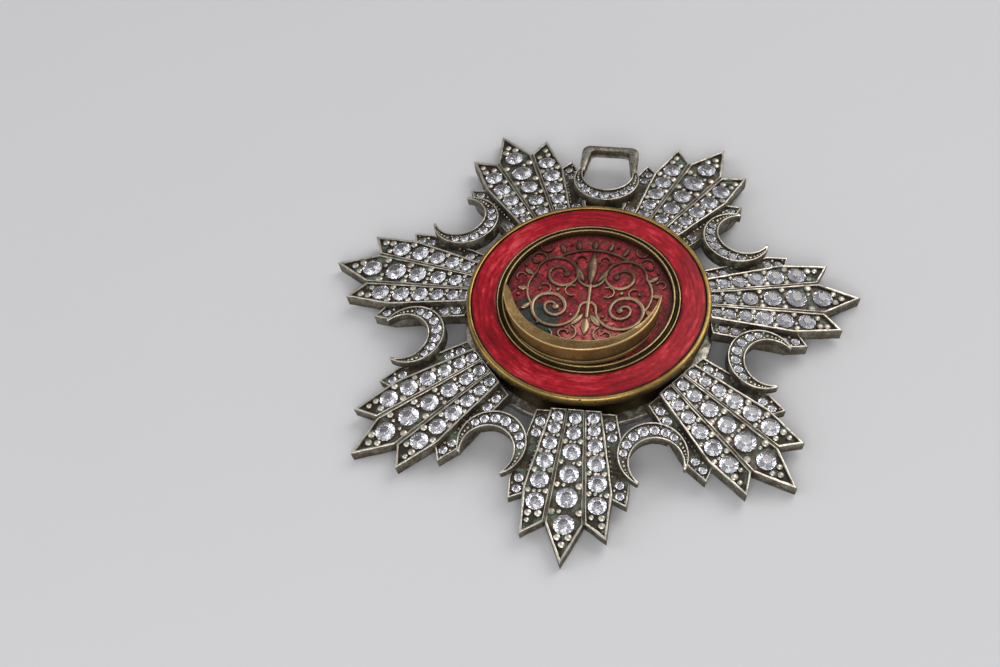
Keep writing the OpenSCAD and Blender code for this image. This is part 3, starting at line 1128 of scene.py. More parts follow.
@dataclass(frozen=True)
class Tray:
    """A flat-bottomed tray with a worn, rounded rim, whose floor has seats for stones.

    The outline is in plan and anticlockwise, and widths are those of the rim along each of
    its sides. The rim's sides are cut into short ones, and wear moves the new corners.
    """

    star: Star
    outline: Sequence[Flat]
    widths: Sequence[float]
    bottom: float
    top: float
    depth: float
    settings: Sequence[Setting]
    cut: float = 1.1
    wear: Flat = (0.04, 0.05)

    def worn(self, loop: Sequence[Flat], cuts: Sequence[int],
             shifts: Sequence[Flat]) -> list[Flat]:
        """Cuts the sides of a loop into shorter ones and moves the new corners.

        Args:
            loop: the corners.
            cuts: number of sides that each side becomes.
            shifts: how far each corner of the new loop would move.
        Returns:
            The new loop.
        """
        points = []
        for i, (spot, count) in enumerate(zip(loop, cuts)):
            a, b = Vector(spot), Vector(loop[(i + 1) % len(loop)])
            points.append(tuple(a))
            for k in range(1, count):
                points.append(tuple(a.lerp(b, k / count) + Vector(shifts[len(points)])))
        return points

    def add(self, draft: Draft, dice: Random) -> None:
        """Adds the tray, with the most grime where its floor runs past the last stone.

        Args:
            draft: the draft that takes it.
            dice: where the wear comes from.
        """
        sides = zip(self.outline, [*self.outline[1:], self.outline[0]])
        cuts = [max(1, round((Vector(b) - Vector(a)).length / self.cut)) for a, b in sides]
        outside, inside = ([(dice.uniform(-w, w), dice.uniform(-w, w)) for _ in range(sum(cuts))]
                           for w in self.wear)
        loops = [self.star.face(self.worn(self.outline, cuts, outside), self.bottom)]
        for step in RIM:
            flat = inset(self.outline, [w * step.share for w in self.widths])
            flat = self.worn(flat, cuts, outside if step.share < 0.5 else inside)
            loops.append(self.star.face(flat, self.top + step.height))
        floor = self.worn(inset(self.outline, self.widths), cuts, inside)
        loops.append(self.star.face(floor, self.top - self.depth))
        last_stone = self.star.on_face(max(setting.y for setting in self.settings))
        for i in rimmed(draft, self.star, loops, self.settings):
            if draft.corners[i].y > last_stone:
                draft.grime_and_shade[i] = TIP_GRIME


@dataclass(frozen=True)
class StoneRow:
    """One stone of a ray: its flute, distance from the medallion's axis, diameter."""

    flute: Flute
    out: float
    d: float


RAY_STONES = (
    StoneRow(Flute.MIDDLE, 18.6, 1.75), StoneRow(Flute.MIDDLE, 20.8, 2.05),
    StoneRow(Flute.MIDDLE, 23.6, 2.45), StoneRow(Flute.MIDDLE, 26.9, 2.6),
    StoneRow(Flute.MIDDLE, 30.4, 3.1), StoneRow(Flute.MIDDLE, 34.3, 2.9),
    StoneRow(Flute.SIDE, 18.4, 1.6), StoneRow(Flute.SIDE, 20.2, 1.8),
    StoneRow(Flute.SIDE, 22.5, 2.1), StoneRow(Flute.SIDE, 25.1, 2.5),
    StoneRow(Flute.SIDE, 28.0, 2.6), StoneRow(Flute.SIDE, 31.2, 2.65),
    StoneRow(Flute.SMALL, 19.0, 1.4), StoneRow(Flute.SMALL, 20.7, 1.4),
    StoneRow(Flute.SMALL, 27.6, 1.3), StoneRow(Flute.SMALL, 29.2, 1.25))


@dataclass(frozen=True)
class GrainRow:
    """One loose grain of metal at a ray's tip: flute, across, out, radius; across is outward."""

    flute: Flute
    across: float
    out: float
    radius: float


TIP_GRAINS = (
    GrainRow(Flute.MIDDLE, 0.79, 36.1, 0.56), GrainRow(Flute.MIDDLE, -0.79, 36.1, 0.54),
    GrainRow(Flute.MIDDLE, 0.03, 37.1, 0.52),
    GrainRow(Flute.SIDE, 0.76, 32.95, 0.53), GrainRow(Flute.SIDE, -0.72, 32.9, 0.5),
    GrainRow(Flute.SIDE, 0.7, 34.05, 0.5),
    GrainRow(Flute.SMALL, 0.45, 18.05, 0.17), GrainRow(Flute.SMALL, -0.45, 18.05, 0.17))


@dataclass(frozen=True)
class GrainWork:
    """How the grains that hold a ray's stones are made and placed.

    The first pair stands before the first stone, and the others midway between two stones
    unless those are far apart. A second, smaller grain may stand further in than a large one.
    The heights, the distance of stones far apart, the last pair, the radius of a large grain,
    the second one's stray and the row under the crescents are in millimetres. The odds are a
    chance, and the others are shares of a stone's diameter or of the grain's radius.
    """

    stray: float = 0.12
    tall: float = 1.15
    heights: Flat = (0.3, 0.5)
    first: Flat = (0.56, 0.11)
    between: float = 0.095
    far_apart: float = 5.0
    last: Flat = (0.75, 0.16)
    from_wall: float = 0.8
    large: float = 0.3
    second_odds: float = 0.7
    second_in: float = 1.75
    second_size: float = 0.62
    second_stray: float = 0.1
    under_crescent: Triple = (22.1, 0.72, 0.19)
    under_count: int = 7


@dataclass
class Ray:
    """One cast ray with its stones.

    Plan sizes run across the ray and out from the medallion's axis. Heights count from the
    faces of the middle and side flutes.
    """

    star: Star
    finishes: Finishes
    number: int
    root: float = 17.3
    first_ridge: Line = ((1.2, 17.3), (2.75, 34.0))
    second_ridge: Line = ((3.6, 17.3), (6.2, 29.2))
    small_edge: Line = ((5.7, 17.3), (8.4, 27.6))
    side_tip: Flat = (5.98, 36.1)
    small_tip: Flat = (8.23, 30.79)
    small_valley: Flat = (6.2, 29.9)
    tip: Flat = (0.0, 40.0)
    small_drop: float = 0.85
    small_bottom: float = 2.7
    base: float = 0.05
    channel: float = 0.45
    channel_in: float = 0.35
    small_in: float = 0.1
    ridge: float = 0.26
    wall: float = 0.4
    thinner: float = 0.04
    small_wall: float = 0.28
    lap_wall: float = 0.3
    end_wall: float = 0.2
    groove: Flat = (0.05, 0.17)
    groove_depth: float = 0.18
    rib_lap: float = 0.03
    rib_end: Flat = (0.25, 0.04)
    lap: float = 1.0
    pad: Flat = (5.5, 1.6)
    pad_top: float = 0.2
    work: GrainWork = GrainWork()

    def __post_init__(self) -> None:
        """Starts the random numbers that make this ray differ from the others."""
        self.dice = Random(RAY_SEED + self.number)

    def flute_middle(self, flute: Flute, y: float) -> Flat:
        """Middle and half width of a flute's channel.

        Args:
            flute: which flute.
            y: distance from the medallion's axis.
        Returns:
            X of the middle, and half the width.
        """
        second = min(on_line(self.second_ridge, y), self.second_ridge[1][0])
        if flute is Flute.MIDDLE:
            return 0.0, on_line(self.first_ridge, y) - self.ridge
        if flute is Flute.SIDE:
            low, high = on_line(self.first_ridge, y) + self.ridge, second - self.channel_in
        else:
            edge = min(on_line(self.small_edge, y), self.small_edge[1][0])
            low, high = second + self.small_in, edge - self.channel_in
        return (low + high) / 2, (high - low) / 2

    def face(self, flute: Flute) -> float:
        """Height of a flute's face."""
        return -self.small_drop if flute is Flute.SMALL else 0

    def settings(self) -> list[tuple[Flute, int, Setting]]:
        """Places every stone.

        Returns:
            Each stone with its flute and its side of the ray.
        """
        out = []
        for row in RAY_STONES:
            floor = self.face(row.flute) - self.channel
            for side in row.flute.sides:
                x = side * self.flute_middle(row.flute, row.out)[0]
                out.append((row.flute, side, Setting(x, row.out, floor, row.d)))
        return out

    def outlines(self) -> dict[Flute, list[Flat]]:
        """Draws the plan outlines of the middle tray and of the trays at the right.

        Returns:
            The outline of each flute's tray, anticlockwise.
        """
        (x0, y0), (x1, y1) = self.first_ridge
        near, far = self.groove
        edge = y1 + far * (self.tip[1] - y1) / x1
        side_edge = y1 + far * (self.side_tip[1] - y1) / (self.side_tip[0] - x1)
        middle = [(-x0 + near, y0), (x0 - near, y0), (x1 - far, edge), self.tip, (-x1 + far, edge)]
        side = [(x0 + near, y0), self.second_ridge[0], self.second_ridge[1], self.side_tip,
                (x1 + far, side_edge)]
        (sx, sy), (vx, vy) = self.second_ridge[0], self.small_valley
        small = [(sx - self.lap, sy), self.small_edge[0], self.small_edge[1], self.small_tip,
                 (vx, vy), (vx - self.lap, vy)]
        return {Flute.MIDDLE: middle, Flute.SIDE: side, Flute.SMALL: small}

    def rib(self) -> list[Flat]:
        """Draws the metal under the groove between the middle tray and the right side tray.

        Returns:
            Its plan outline, anticlockwise.
        """
        (x0, y0), (x1, y1) = self.first_ridge
        near, far = (width + self.rib_lap for width in self.groove)
        past, notch = self.rib_end
        return [(x0 - near, y0), (x0 + near, y0), (x1 + far, y1 + past), (x1, y1 - notch),
                (x1 - far, y1 + past)]

    def widths(self, flute: Flute) -> list[float]:
        """Widths of a tray's rim.

        Args:
            flute: the tray's flute.
        Returns:
            The width along each side of its outline.
        """
        thin = self.ridge - self.groove[0]
        if flute is Flute.MIDDLE:
            return [self.end_wall, thin, self.wall, self.wall, thin]
        if flute is Flute.SIDE:
            return [self.end_wall, self.wall - self.thinner, self.wall, self.wall, thin]
        return [self.end_wall, *[self.small_wall] * 4, self.lap_wall]

    def metal(self) -> Draft:
        """Builds the metal on its own sloping face.

        Returns:
            The ray, with its long tip at the origin.
        """
        draft, outlines = Draft(), self.outlines()
        base = self.base - self.star.thickness
        for rib in (self.rib(), mirrored(self.rib())):
            rows = draft.stack([self.star.face(rib, z) for z in (base, -self.groove_depth)],
                               [HIDDEN_GRIME, HIDDEN_GRIME])
            draft.plate(rows[0], up=False)
            draft.plate(rows[1])
        by_tray: dict[tuple[Flute, int], list[Setting]] = {}
        for flute, side, setting in self.settings():
            by_tray.setdefault((flute, side), []).append(setting)
        for (flute, side), stones in by_tray.items():
            outline, widths = outlines[flute], self.widths(flute)
            if side < 0:
                outline, widths = mirrored(outline), widths[-2::-1] + widths[-1:]
            bottom = -self.small_bottom if flute is Flute.SMALL else base
            Tray(self.star, outline, widths, bottom, self.face(flute), self.channel,
                 stones).add(draft, self.dice)
        (half, depth), root = self.pad, self.star.on_face(self.root)
        draft.block(Vector((-half, root, -self.small_bottom)),
                    Vector((half, root + depth, self.pad_top - self.star.thickness)), HIDDEN_GRIME)
        self.grains(draft)
        return draft

    def grain(self, draft: Draft, flute: Flute, x: float, y: float, radius: float) -> None:
        """Adds one grain of metal to a flute's floor, not quite where it should be.

        Args:
            draft: the draft that takes it.
            flute: the flute.
            x: its place across the ray.
            y: its distance from the medallion's axis.
            radius: its radius.
        """
        stray = self.work.stray * radius
        spot = Vector((x + self.dice.uniform(-stray, stray),
                       self.star.on_face(y) + self.dice.uniform(-stray, stray),
                       self.face(flute) - self.channel))
        radius *= self.dice.uniform(*GRAIN_SIZES)
        low, high = self.work.heights
        draft.bead(spot, radius, min(max(self.work.tall * radius, low), high))

    def grain_pairs(self, flute: Flute) -> list[Flat]:
        """Finds where pairs of grains stand at the edges of a flute, to hold its stones.

        Args:
            flute: the flute.
        Returns:
            Distance from the medallion's axis, and radius.
        """
        rows, work = [row for row in RAY_STONES if row.flute is flute], self.work
        before, size = work.first
        pairs = [(rows[0].out - rows[0].d * before, rows[0].d * size)]
        for a, b in zip(rows, rows[1:]):
            if b.out - a.out < work.far_apart:
                y = (a.out + a.d / 2 + b.out - b.d / 2) / 2
                pairs.append((y, work.between * (a.d + b.d)))
        if flute is Flute.SMALL:
            start, step, radius = work.under_crescent
            pairs += [(start + step * i, radius) for i in range(work.under_count)]
            past, radius = work.last
            pairs.append((rows[-1].out + past, radius))
        return pairs

    def grains(self, draft: Draft) -> None:
        """Adds the grains that hold the stones, and those at the tips and under the crescents.

        Args:
            draft: the draft that takes them.
        """
        work = self.work
        for flute in Flute:
            for y, radius in self.grain_pairs(flute):
                middle, half = self.flute_middle(flute, y)
                for side, edge in product(flute.sides, (-1, 1)):
                    across = half - work.from_wall * radius
                    self.grain(draft, flute, side * middle + edge * across, y, radius)
                    if radius > work.large and self.dice.random() < work.second_odds:
                        across -= work.second_in * radius
                        stray = self.dice.uniform(-work.second_stray, work.second_stray)
                        self.grain(draft, flute, side * middle + edge * across, y + stray,
                                   work.second_size * radius)
        for row in TIP_GRAINS:
            middle = self.flute_middle(row.flute, row.out)[0]
            for side in row.flute.sides:
                self.grain(draft, row.flute, side * (middle + row.across), row.out, row.radius)

    def build(self) -> None:
        """Builds the ray and its stones."""
        place, number = self.star.slope((self.number - 1) * STEP), self.number
        self.metal().piece(place, f"cast_ray_{number}", self.finishes.silver, "ray_silver",
                           f"ray_{number}")
        stones = Draft()
        for _, _, setting in self.settings():
            setting.stone(stones, self.star, self.dice)
        stones.piece(place, f"cut_stones_of_ray_{number}", self.finishes.stone, "stone",
                     f"ray_stones_{number}", 0)


# Stones of a crescent: degrees from its back, diameter
CRESCENT_STONES = ((0, 1.5), (21, 1.4), (-21, 1.4), (41, 1.3), (-41, 1.3), (59, 1.12), (-59, 1.12))

# Grains of a crescent on both sides of its back: degrees from it, off its middle line, radius
CRESCENT_GRAINS = (
    *((turn, off, 0.15) for turn in (10.5, 31, 50) for off in (-0.58, 0.6)),
    (69, -0.42, 0.15), (69, 0.4, 0.15), (76, 0.0, 0.24), (84.5, 0.0, 0.22), (92, 0.0, 0.2),
    (98.5, 0.0, 0.17), (104, 0.0, 0.14), (109, 0.0, 0.11))


@dataclass
class Crescent:
    """One crescent between two rays, with its stones.

    Its edges are given by the distance of their middle from the medallion's axis and their
    radius. Heights count from the faces of the rays.
    """

    star: Star
    finishes: Finishes
    gap: int
    outer: Flat = (25.8, 4.98)
    inner: Flat = (27.1, 3.78)
    horn_end: float = 29.0
    horn_slant: float = 2.8
    horn_bulge: float = 0.2
    rise: float = 0.75
    under: float = 0.55
    depth: float = 1.35
    deep_half: float = 2.75
    deep_steps: int = 14
    keel_lap: float = 0.1
    keel_grime: float = 0.7
    hair: float = 0.02
    wall: float = 0.27
    channel: float = 0.4
    arc_steps: int = 40
    grain_least: float = 0.26
    grain_sides: int = 8

    def __post_init__(self) -> None:
        """Starts the random numbers that make this crescent differ from the others."""
        self.dice = Random(GAP_SEED + self.gap)

    @property
    def node(self) -> str:
        """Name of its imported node."""
        return f"crescent_{self.gap}"

    @property
    def floor(self) -> float:
        """Height of its floor."""
        return self.rise - self.channel

    def outline(self, inward: float, z: float) -> list[Vector]:
        """Draws the crescent on its sloping face.

        Args:
            inward: how far the outline is moved inward.
            z: its height.
        Returns:
            The outline, anticlockwise from the left horn.
        """
        outer = ((0.0, self.star.on_face(self.outer[0])), self.outer[1] - inward)
        inner = ((0.0, self.star.on_face(self.inner[0])), self.inner[1] + inward)
        y = self.star.on_face(self.horn_end - self.horn_slant * inward)
        cut = ((-1.0, y), (1.0, y))
        flat = lune(outer, inner, (cut, cut), (self.horn_bulge, self.horn_bulge), self.arc_steps)
        return raised(flat, z)

    def on_path(self, turn: float, off: float = 0) -> Flat:
        """A plan place on the crescent's middle line.

        Args:
            turn: degrees from its back.
            off: distance outward from the line.
        Returns:
            The place.
        """
        y, r = ((a + b) / 2 for a, b in zip(self.outer, self.inner))
        r, angle = r + off, math.radians(turn)
        return r * math.sin(angle), y - r * math.cos(angle)

    def settings(self) -> list[Setting]:
        """The stones of the crescent."""
        return [Setting(*self.on_path(turn), self.floor, d) for turn, d in CRESCENT_STONES]

    def metal(self) -> Draft:
        """Builds the metal on its own sloping face.

        Returns:
            The crescent.
        """
        draft = Draft()
        rim = [self.outline(self.wall * step.share, self.rise + step.height) for step in RIM]
        rimmed(draft, self.star,
               [self.outline(0, -self.under), *rim, self.outline(self.wall, self.floor)],
               self.settings())
        self.keel(draft)
        self.grains(draft)
        return draft

    def keel(self, draft: Draft) -> None:
        """Adds the deep middle that hangs between two rays.

        Args:
            draft: the draft that takes it.
        """
        steps = self.deep_steps
        across = [self.deep_half * (2 * i / steps - 1) for i in range(steps + 1)]
        outline = [(x, self.near_side(self.outer, -self.hair, x)) for x in across]
        outline += [(x, self.near_side(self.inner, self.hair, x)) for x in reversed(across)]
        heights = (-self.depth, self.keel_lap - self.under)
        rows = draft.stack([raised(outline, z) for z in heights], [self.keel_grime, HIDDEN_GRIME])
        draft.plate(rows[0], up=False)

    def near_side(self, edge: Flat, wider: float, x: float) -> float:
        """Where an edge of the crescent runs on its sloping face, near its back.

        Args:
            edge: the edge.
            wider: how much its radius grows.
            x: the place across.
        Returns:
            Y of the edge.
        """
        radius = edge[1] + wider
        return self.star.on_face(edge[0]) - math.sqrt(radius * radius - x * x)

    def grains(self, draft: Draft) -> None:
        """Adds the grains between the stones and along the horns.

        Args:
            draft: the draft that takes them.
        """
        for turn, off, radius in CRESCENT_GRAINS:
            for side in (-1, 1):
                x, y = self.on_path(side * turn, off)
                size = radius * self.dice.uniform(*GRAIN_SIZES)
                spot = Vector((x, self.star.on_face(y), self.floor))
                draft.bead(spot, size, max(size, self.grain_least), self.grain_sides)

    def build(self) -> None:
        """Builds the crescent and its stones."""
        place = self.star.slope((self.gap - 0.5) * STEP)
        self.metal().piece(place, f"silver_{self.node}", self.finishes.silver,
                           "crescent_silver", self.node)
        stones = Draft()
        for setting in self.settings():
            setting.stone(stones, self.star, self.dice)
        stones.piece(place, f"cut_stones_of_crescent_{self.gap}", self.finishes.stone, "stone",
                     f"crescent_stones_{self.gap}", 0)


@dataclass(frozen=True)
class BarStep:
    """One corner of a bar's section: share across, from its top or foot, height over it, grime."""

    share: float
    from_top: bool
    height: float
    grime_and_shade: float


BAR = (BarStep(0.0, False, 0.06, 0.22), BarStep(0.08, False, 0.0, 0.5),
       BarStep(0.92, False, 0.0, 0.6), BarStep(1.0, False, 0.06, 0.5),
       BarStep(1.0, True, -0.34, 0.5), BarStep(0.95, True, -0.12, 0.46),
       BarStep(0.82, True, -0.02, 0.44), BarStep(0.5, True, 0.0, 0.47),
       BarStep(0.2, True, -0.02, 0.44), BarStep(0.06, True, -0.1, 0.46),
       BarStep(0.0, True, -0.3, 0.66), BarStep(0.0, False, 0.7, 0.7),
       BarStep(0.0, False, 0.48, 0.26))


@dataclass
class HangerCrescent(Crescent):
    """The top crescent, with the hanger's frame on its horns."""

    frame_half: float = 4.35
    frame_far: float = 33.3
    opening_half: float = 2.9
    opening_foot: float = 3.55
    opening_far: float = 32.2
    foot: float = 27.4
    corner: float = 1.3
    opening_corner: float = 0.8
    frame_rise: float = 0.25
    blend: float = 2.2
    bar_cuts: int = 6
    corner_cuts: int = 8

    @property
    def node(self) -> str:
        """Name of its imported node."""
        return "crescent_hanger"

    def edge(self, foot_half: float, half: float, far: float, corner: float) -> list[Flat]:
        """One edge of the frame: up the right bar, over the far bar and down the left bar.

        Args:
            foot_half: half the width between the bars' edges at their feet.
            half: half the width at the far bar.
            far: distance of the far bar's edge from the medallion's axis.
            corner: radius of the far corners.
        Returns:
            Points of the edge.
        """
        top, foot = self.star.on_face(far) - corner, self.star.on_face(self.foot)
        shares = [i / self.bar_cuts for i in range(self.bar_cuts)]
        bar = [(foot_half + (half - foot_half) * t, foot + (top - foot) * t) for t in shares]
        turns = [math.radians(90 * i / self.corner_cuts) for i in range(self.corner_cuts + 1)]
        bend = [(half - corner + corner * math.cos(t), top + corner * math.sin(t)) for t in turns]
        right = bar + bend
        return right + mirrored(right)

    def metal(self) -> Draft:
        """Builds the crescent and its frame, a rounded bar that runs between two edges.

        Returns:
            The metal on its own sloping face.
        """
        draft = super().metal()
        outer = self.edge(self.frame_half, self.frame_half, self.frame_far, self.corner)
        inner = self.edge(self.opening_foot, self.opening_half, self.opening_far,
                          self.opening_corner)
        low, foot = -self.under, self.star.on_face(self.foot)
        sections = []
        for near, far in zip(inner, outer):
            share = min(1.0, (far[1] - foot) / self.blend)
            high = self.rise + self.frame_rise * share * share * (3 - 2 * share)
            sections.append([Vector((near[0] + (far[0] - near[0]) * step.share,
                                     near[1] + (far[1] - near[1]) * step.share,
                                     (high if step.from_top else low) + step.height))
                             for step in BAR])
        draft.bar(sections, [step.grime_and_shade for step in BAR])
        return draft


# The medallion


@dataclass(frozen=True)
class Arc:
    """A stroke of the scrolls: middle, radius, start and end in degrees, width at both ends."""

    middle: Flat
    radius: float
    start: float
    end: float
    wide: Flat


@dataclass(frozen=True)
class Leaf:
    """A leaf of the scrolls: foot, direction in degrees, length, width."""

    foot: Flat
    facing: float
    length: float
    width: float


# Half the section of a stroke, mirrored for the other half: share of its width, share of
# the relief's height, grime
STROKE_HALF = ((-0.5, 0, 0.8), (-0.46, 0.55, 0.3), (-0.28, 0.92, 0.05))
STROKE = (*STROKE_HALF, (0, 1, 0), *((-s, h, g) for s, h, g in reversed(STROKE_HALF)))

# Loops of a leaf: share of its spread, share of the relief's height, grime
LEAF = ((1, 0, 0.8), (0.96, 0.5, 0.35), (0.8, 0.85, 0.08), (0.4, 1.12, 0), (0.06, 1.22, 0))


@dataclass
class Scrolls:
    """A raised arabesque of scrolls and leaves, the same on both halves of the disc."""

    star: Star
    finishes: Finishes
    base: float
    height: float = 0.3
    half_arcs: tuple[Arc, ...] = (
        Arc((4.6, -1.6), 3.4, 180, 360, (0.45, 0.68)), Arc((5.6, -1.6), 2.4, 0, 180, (0.68, 0.6)),
        Arc((4.7, -1.6), 1.5, 180, 360, (0.6, 0.5)), Arc((5.4, -1.6), 0.8, 0, 180, (0.5, 0.4)),
        Arc((5, 4.4), 3, 0, 180, (0.45, 0.66)), Arc((4.1, 4.4), 2.1, 180, 360, (0.45, 0.66)),
        Arc((4.9, 4.4), 1.3, 0, 180, (0.66, 0.4)), Arc((4, 1.4), 5, -37, 37, (0.4, 0.5)))
    middle_arcs: tuple[Arc, ...] = (
        Arc((0, -1.6), 1.2, 0, 180, (0.5, 0.5)), Arc((0, 4.4), 2, 180, 360, (0.5, 0.5)),
        Arc((0, 0.6), 8.5, 52, 128, (0.45, 0.45)))
    half_tendrils: tuple[Arc, ...] = (
        Arc((7.85, 7.0), 1.05, 200, -20, (0.34, 0.3)),
        Arc((8.3, 6.64), 0.54, -20, -210, (0.3, 0.22)),
        Arc((2.6, 1.5), 0.95, 120, -120, (0.34, 0.24)),
        Arc((6.5, 1.5), 0.9, 60, 300, (0.34, 0.24)),
        Arc((2.5, -6.0), 1.3, 115, 330, (0.34, 0.3)),
        Arc((3.05, -6.3), 0.72, -30, 170, (0.3, 0.22)),
        Arc((5.6, -6.6), 1.0, 120, 330, (0.34, 0.22)),
        Arc((1.7, 7.1), 0.8, -40, 200, (0.3, 0.22)),
        Arc((7.0, 9.2), 0.9, 150, 380, (0.3, 0.2)), Arc((10.1, 3.4), 0.7, 160, -60, (0.3, 0.2)))
    half_leaves: tuple[Leaf, ...] = (
        Leaf((0.9, 3.1), 62, 3.2, 1), Leaf((0.4, -2.5), -52, 2.9, 1),
        Leaf((8.9, 1.4), 0, 1.6, 0.9), Leaf((8.3, 3.9), 35, 1.9, 0.9),
        Leaf((8.2, -1.2), -40, 1.9, 0.9), Leaf((4.1, 8.1), 62, 2.1, 0.9),
        Leaf((2.1, 8.8), 76, 2.1, 0.9))
    middle_leaves: tuple[Leaf, ...] = (
        Leaf((0, 2.5), 90, 6.6, 1.5), Leaf((0, 9), 90, 2.1, 1), Leaf((0, -3), -90, 3.4, 1.3))
    dots: tuple[Ring, ...] = (
        ((4.6, -1.6), 0.5), ((3.6, 4.4), 0.5), ((2.3, -2.9), 0.24), ((6.9, -4.6), 0.26),
        ((7.2, 1.45), 0.24), ((4.6, 1.5), 0.3), ((2.3, 6.0), 0.2), ((4.0, -8.2), 0.26),
        ((9.6, 5.6), 0.24), ((1.1, -7.9), 0.24), ((3.4, 9.9), 0.24), ((10.2, 0.2), 0.24))
    stem: Line = ((0, -3.2), (0, 2.8))
    stem_wide: Flat = (0.6, 0.6)
    dot_height: float = 1.3
    dot_sides: int = 14
    arc_cuts: int = 6
    arc_fine: float = 36.0
    leaf_cuts: int = 10
    leaf_reach: Flat = (0.55, 0.45)
    polish: float = 0.06
    # Painted shade toward the top of the disc: the Y where it starts, its length and its most.
    top_shade: Triple = (-0.5, 8.0, 0.45)

    def stroke(self, draft: Draft, path: Sequence[Flat], widths: Sequence[float]) -> None:
        """Adds a rounded stroke along a path.

        Args:
            draft: the draft that takes it.
            path: its middle line.
            widths: its width at each point.
        """
        sections = []
        for i, ((x, y), width) in enumerate(zip(path, widths)):
            near, far = path[max(i - 1, 0)], path[min(i + 1, len(path) - 1)]
            along = Vector((far[0] - near[0], far[1] - near[1])).normalized()
            sections.append([Vector((x - along.y * s * width, y + along.x * s * width,
                                     self.base + h * self.height)) for s, h, _ in STROKE])
        draft.bar(sections, [grime_and_shade for _, _, grime_and_shade in STROKE], standing=True)

    def arc(self, draft: Draft, row: Arc, flip: int) -> None:
        """Adds one arc, or its mirror image.

        Args:
            draft: the draft that takes it.
            row: the arc.
            flip: 1 for the arc, -1 for its mirror image.
        """
        steps = max(self.arc_cuts, int(abs(row.end - row.start) * row.radius / self.arc_fine))
        path, widths = [], []
        for i in range(steps + 1):
            share = i / steps
            turn = math.radians(row.start + (row.end - row.start) * share)
            path.append((flip * (row.middle[0] + row.radius * math.cos(turn)),
                         row.middle[1] + row.radius * math.sin(turn)))
            widths.append(row.wide[0] + (row.wide[1] - row.wide[0]) * share)
        self.stroke(draft, path, widths)

    def leaf(self, draft: Draft, row: Leaf, flip: int) -> None:
        """Adds one leaf, or its mirror image, as a pointed pillow.

        Args:
            draft: the draft that takes it.
            row: the leaf.
            flip: 1 for the leaf, -1 for its mirror image.
        """
        turn = math.radians(row.facing)
        along = Vector((math.cos(turn), math.sin(turn)))
        across = Vector((-along.y, along.x))
        least, more = self.leaf_reach
        loops = []
        for spread, height, _ in LEAF:
            loop = []
            for side in (-1, 1):
                for i in range(self.leaf_cuts):
                    t = i / self.leaf_cuts if side < 0 else 1 - i / self.leaf_cuts
                    reach = 0.5 + (t - 0.5) * (least + more * spread)
                    half = side * spread * row.width * 2 * t * (1 - t)
                    p = Vector(row.foot) + along * reach * row.length + across * half
                    loop.append(Vector((flip * p.x, p.y, self.base + height * self.height)))
            loops.append(loop if flip > 0 else loop[::-1])
        draft.cap(draft.stack(loops, [grime_and_shade for _, _, grime_and_shade in LEAF])[-1])

    def build(self) -> None:
        """Builds the arabesque."""
        draft = Draft()
        for flip in (-1, 1):
            for row in (*self.half_arcs, *self.half_tendrils):
                self.arc(draft, row, flip)
            for row in self.half_leaves:
                self.leaf(draft, row, flip)
            for (x, y), radius in self.dots:
                draft.bead(Vector((flip * x, y, self.base)), radius,
                           self.height * self.dot_height, self.dot_sides)
        for row in self.middle_arcs:
            self.arc(draft, row, 1)
        for row in self.middle_leaves:
            self.leaf(draft, row, 1)
        self.stroke(draft, self.stem, self.stem_wide)
        # Painted shade: the relief is painted darker toward the top of the disc.
        draft.grime_and_shade = [grime_and_shade + self.painted_top_shade(spot.y) for grime_and_shade, spot in
                       zip(draft.grime_and_shade, draft.corners)]
        draft.piece(self.star.axis(), "raised_scrolls", self.finishes.relief, "scroll_gold",
                    "gold_scrolls")

    def painted_top_shade(self, y: float) -> float:
        """How much darker a place is painted: painted shade that grows toward the top of the disc,
        less a little polish all over.
        """
        start, length, most = self.top_shade
        return most * min(1.0, max(0.0, (y - start) / length)) - self.polish


@dataclass(frozen=True)
class LuneStep:
    """One loop of the tall crescent: set in from outside and inside, height, share of grime and
    painted shade.
    """

    set_out: float
    set_in: float
    rise: float
    grime_and_shade: float


# The steps paint light: highlight lines at the top's two edges and a bright band low on the foot,
# painted shade lines at the foot, at the step and under the lip, and a darker middle along the top.
LUNE = (LuneStep(0.24, 0, 0.0, 0.9), LuneStep(0.21, 0, 0.14, 0.4), LuneStep(0.19, 0, 0.66, 0.0),
        LuneStep(0.27, 0, 0.86, 0.1), LuneStep(0.47, 0, 0.95, 0.9), LuneStep(0.52, 0, 1.3, 0.35),
        LuneStep(0.5, 0, 3.1, 0.2), LuneStep(0.42, 0, 3.42, 0.7), LuneStep(0.1, 0, 3.55, 0.5),
        LuneStep(0.01, 0, 3.68, 0.15), LuneStep(0.0, 0, 3.95, 0.0), LuneStep(0.06, 0, 4.06, 0.0),
        LuneStep(0.14, 0.04, 4.1, 0.0), LuneStep(0.22, 0.09, 4.1, 0.06),
        LuneStep(0.26, 0.12, 4.08, 0.28))

# Crown of the enamel ring: share of the way in, height over its slope
RING_CROWN = ((0, -0.12), (0.04, -0.02), (0.12, 0.02), (0.5, 0.05), (0.85, 0.02), (0.95, 0.0),
              (1, -0.06))


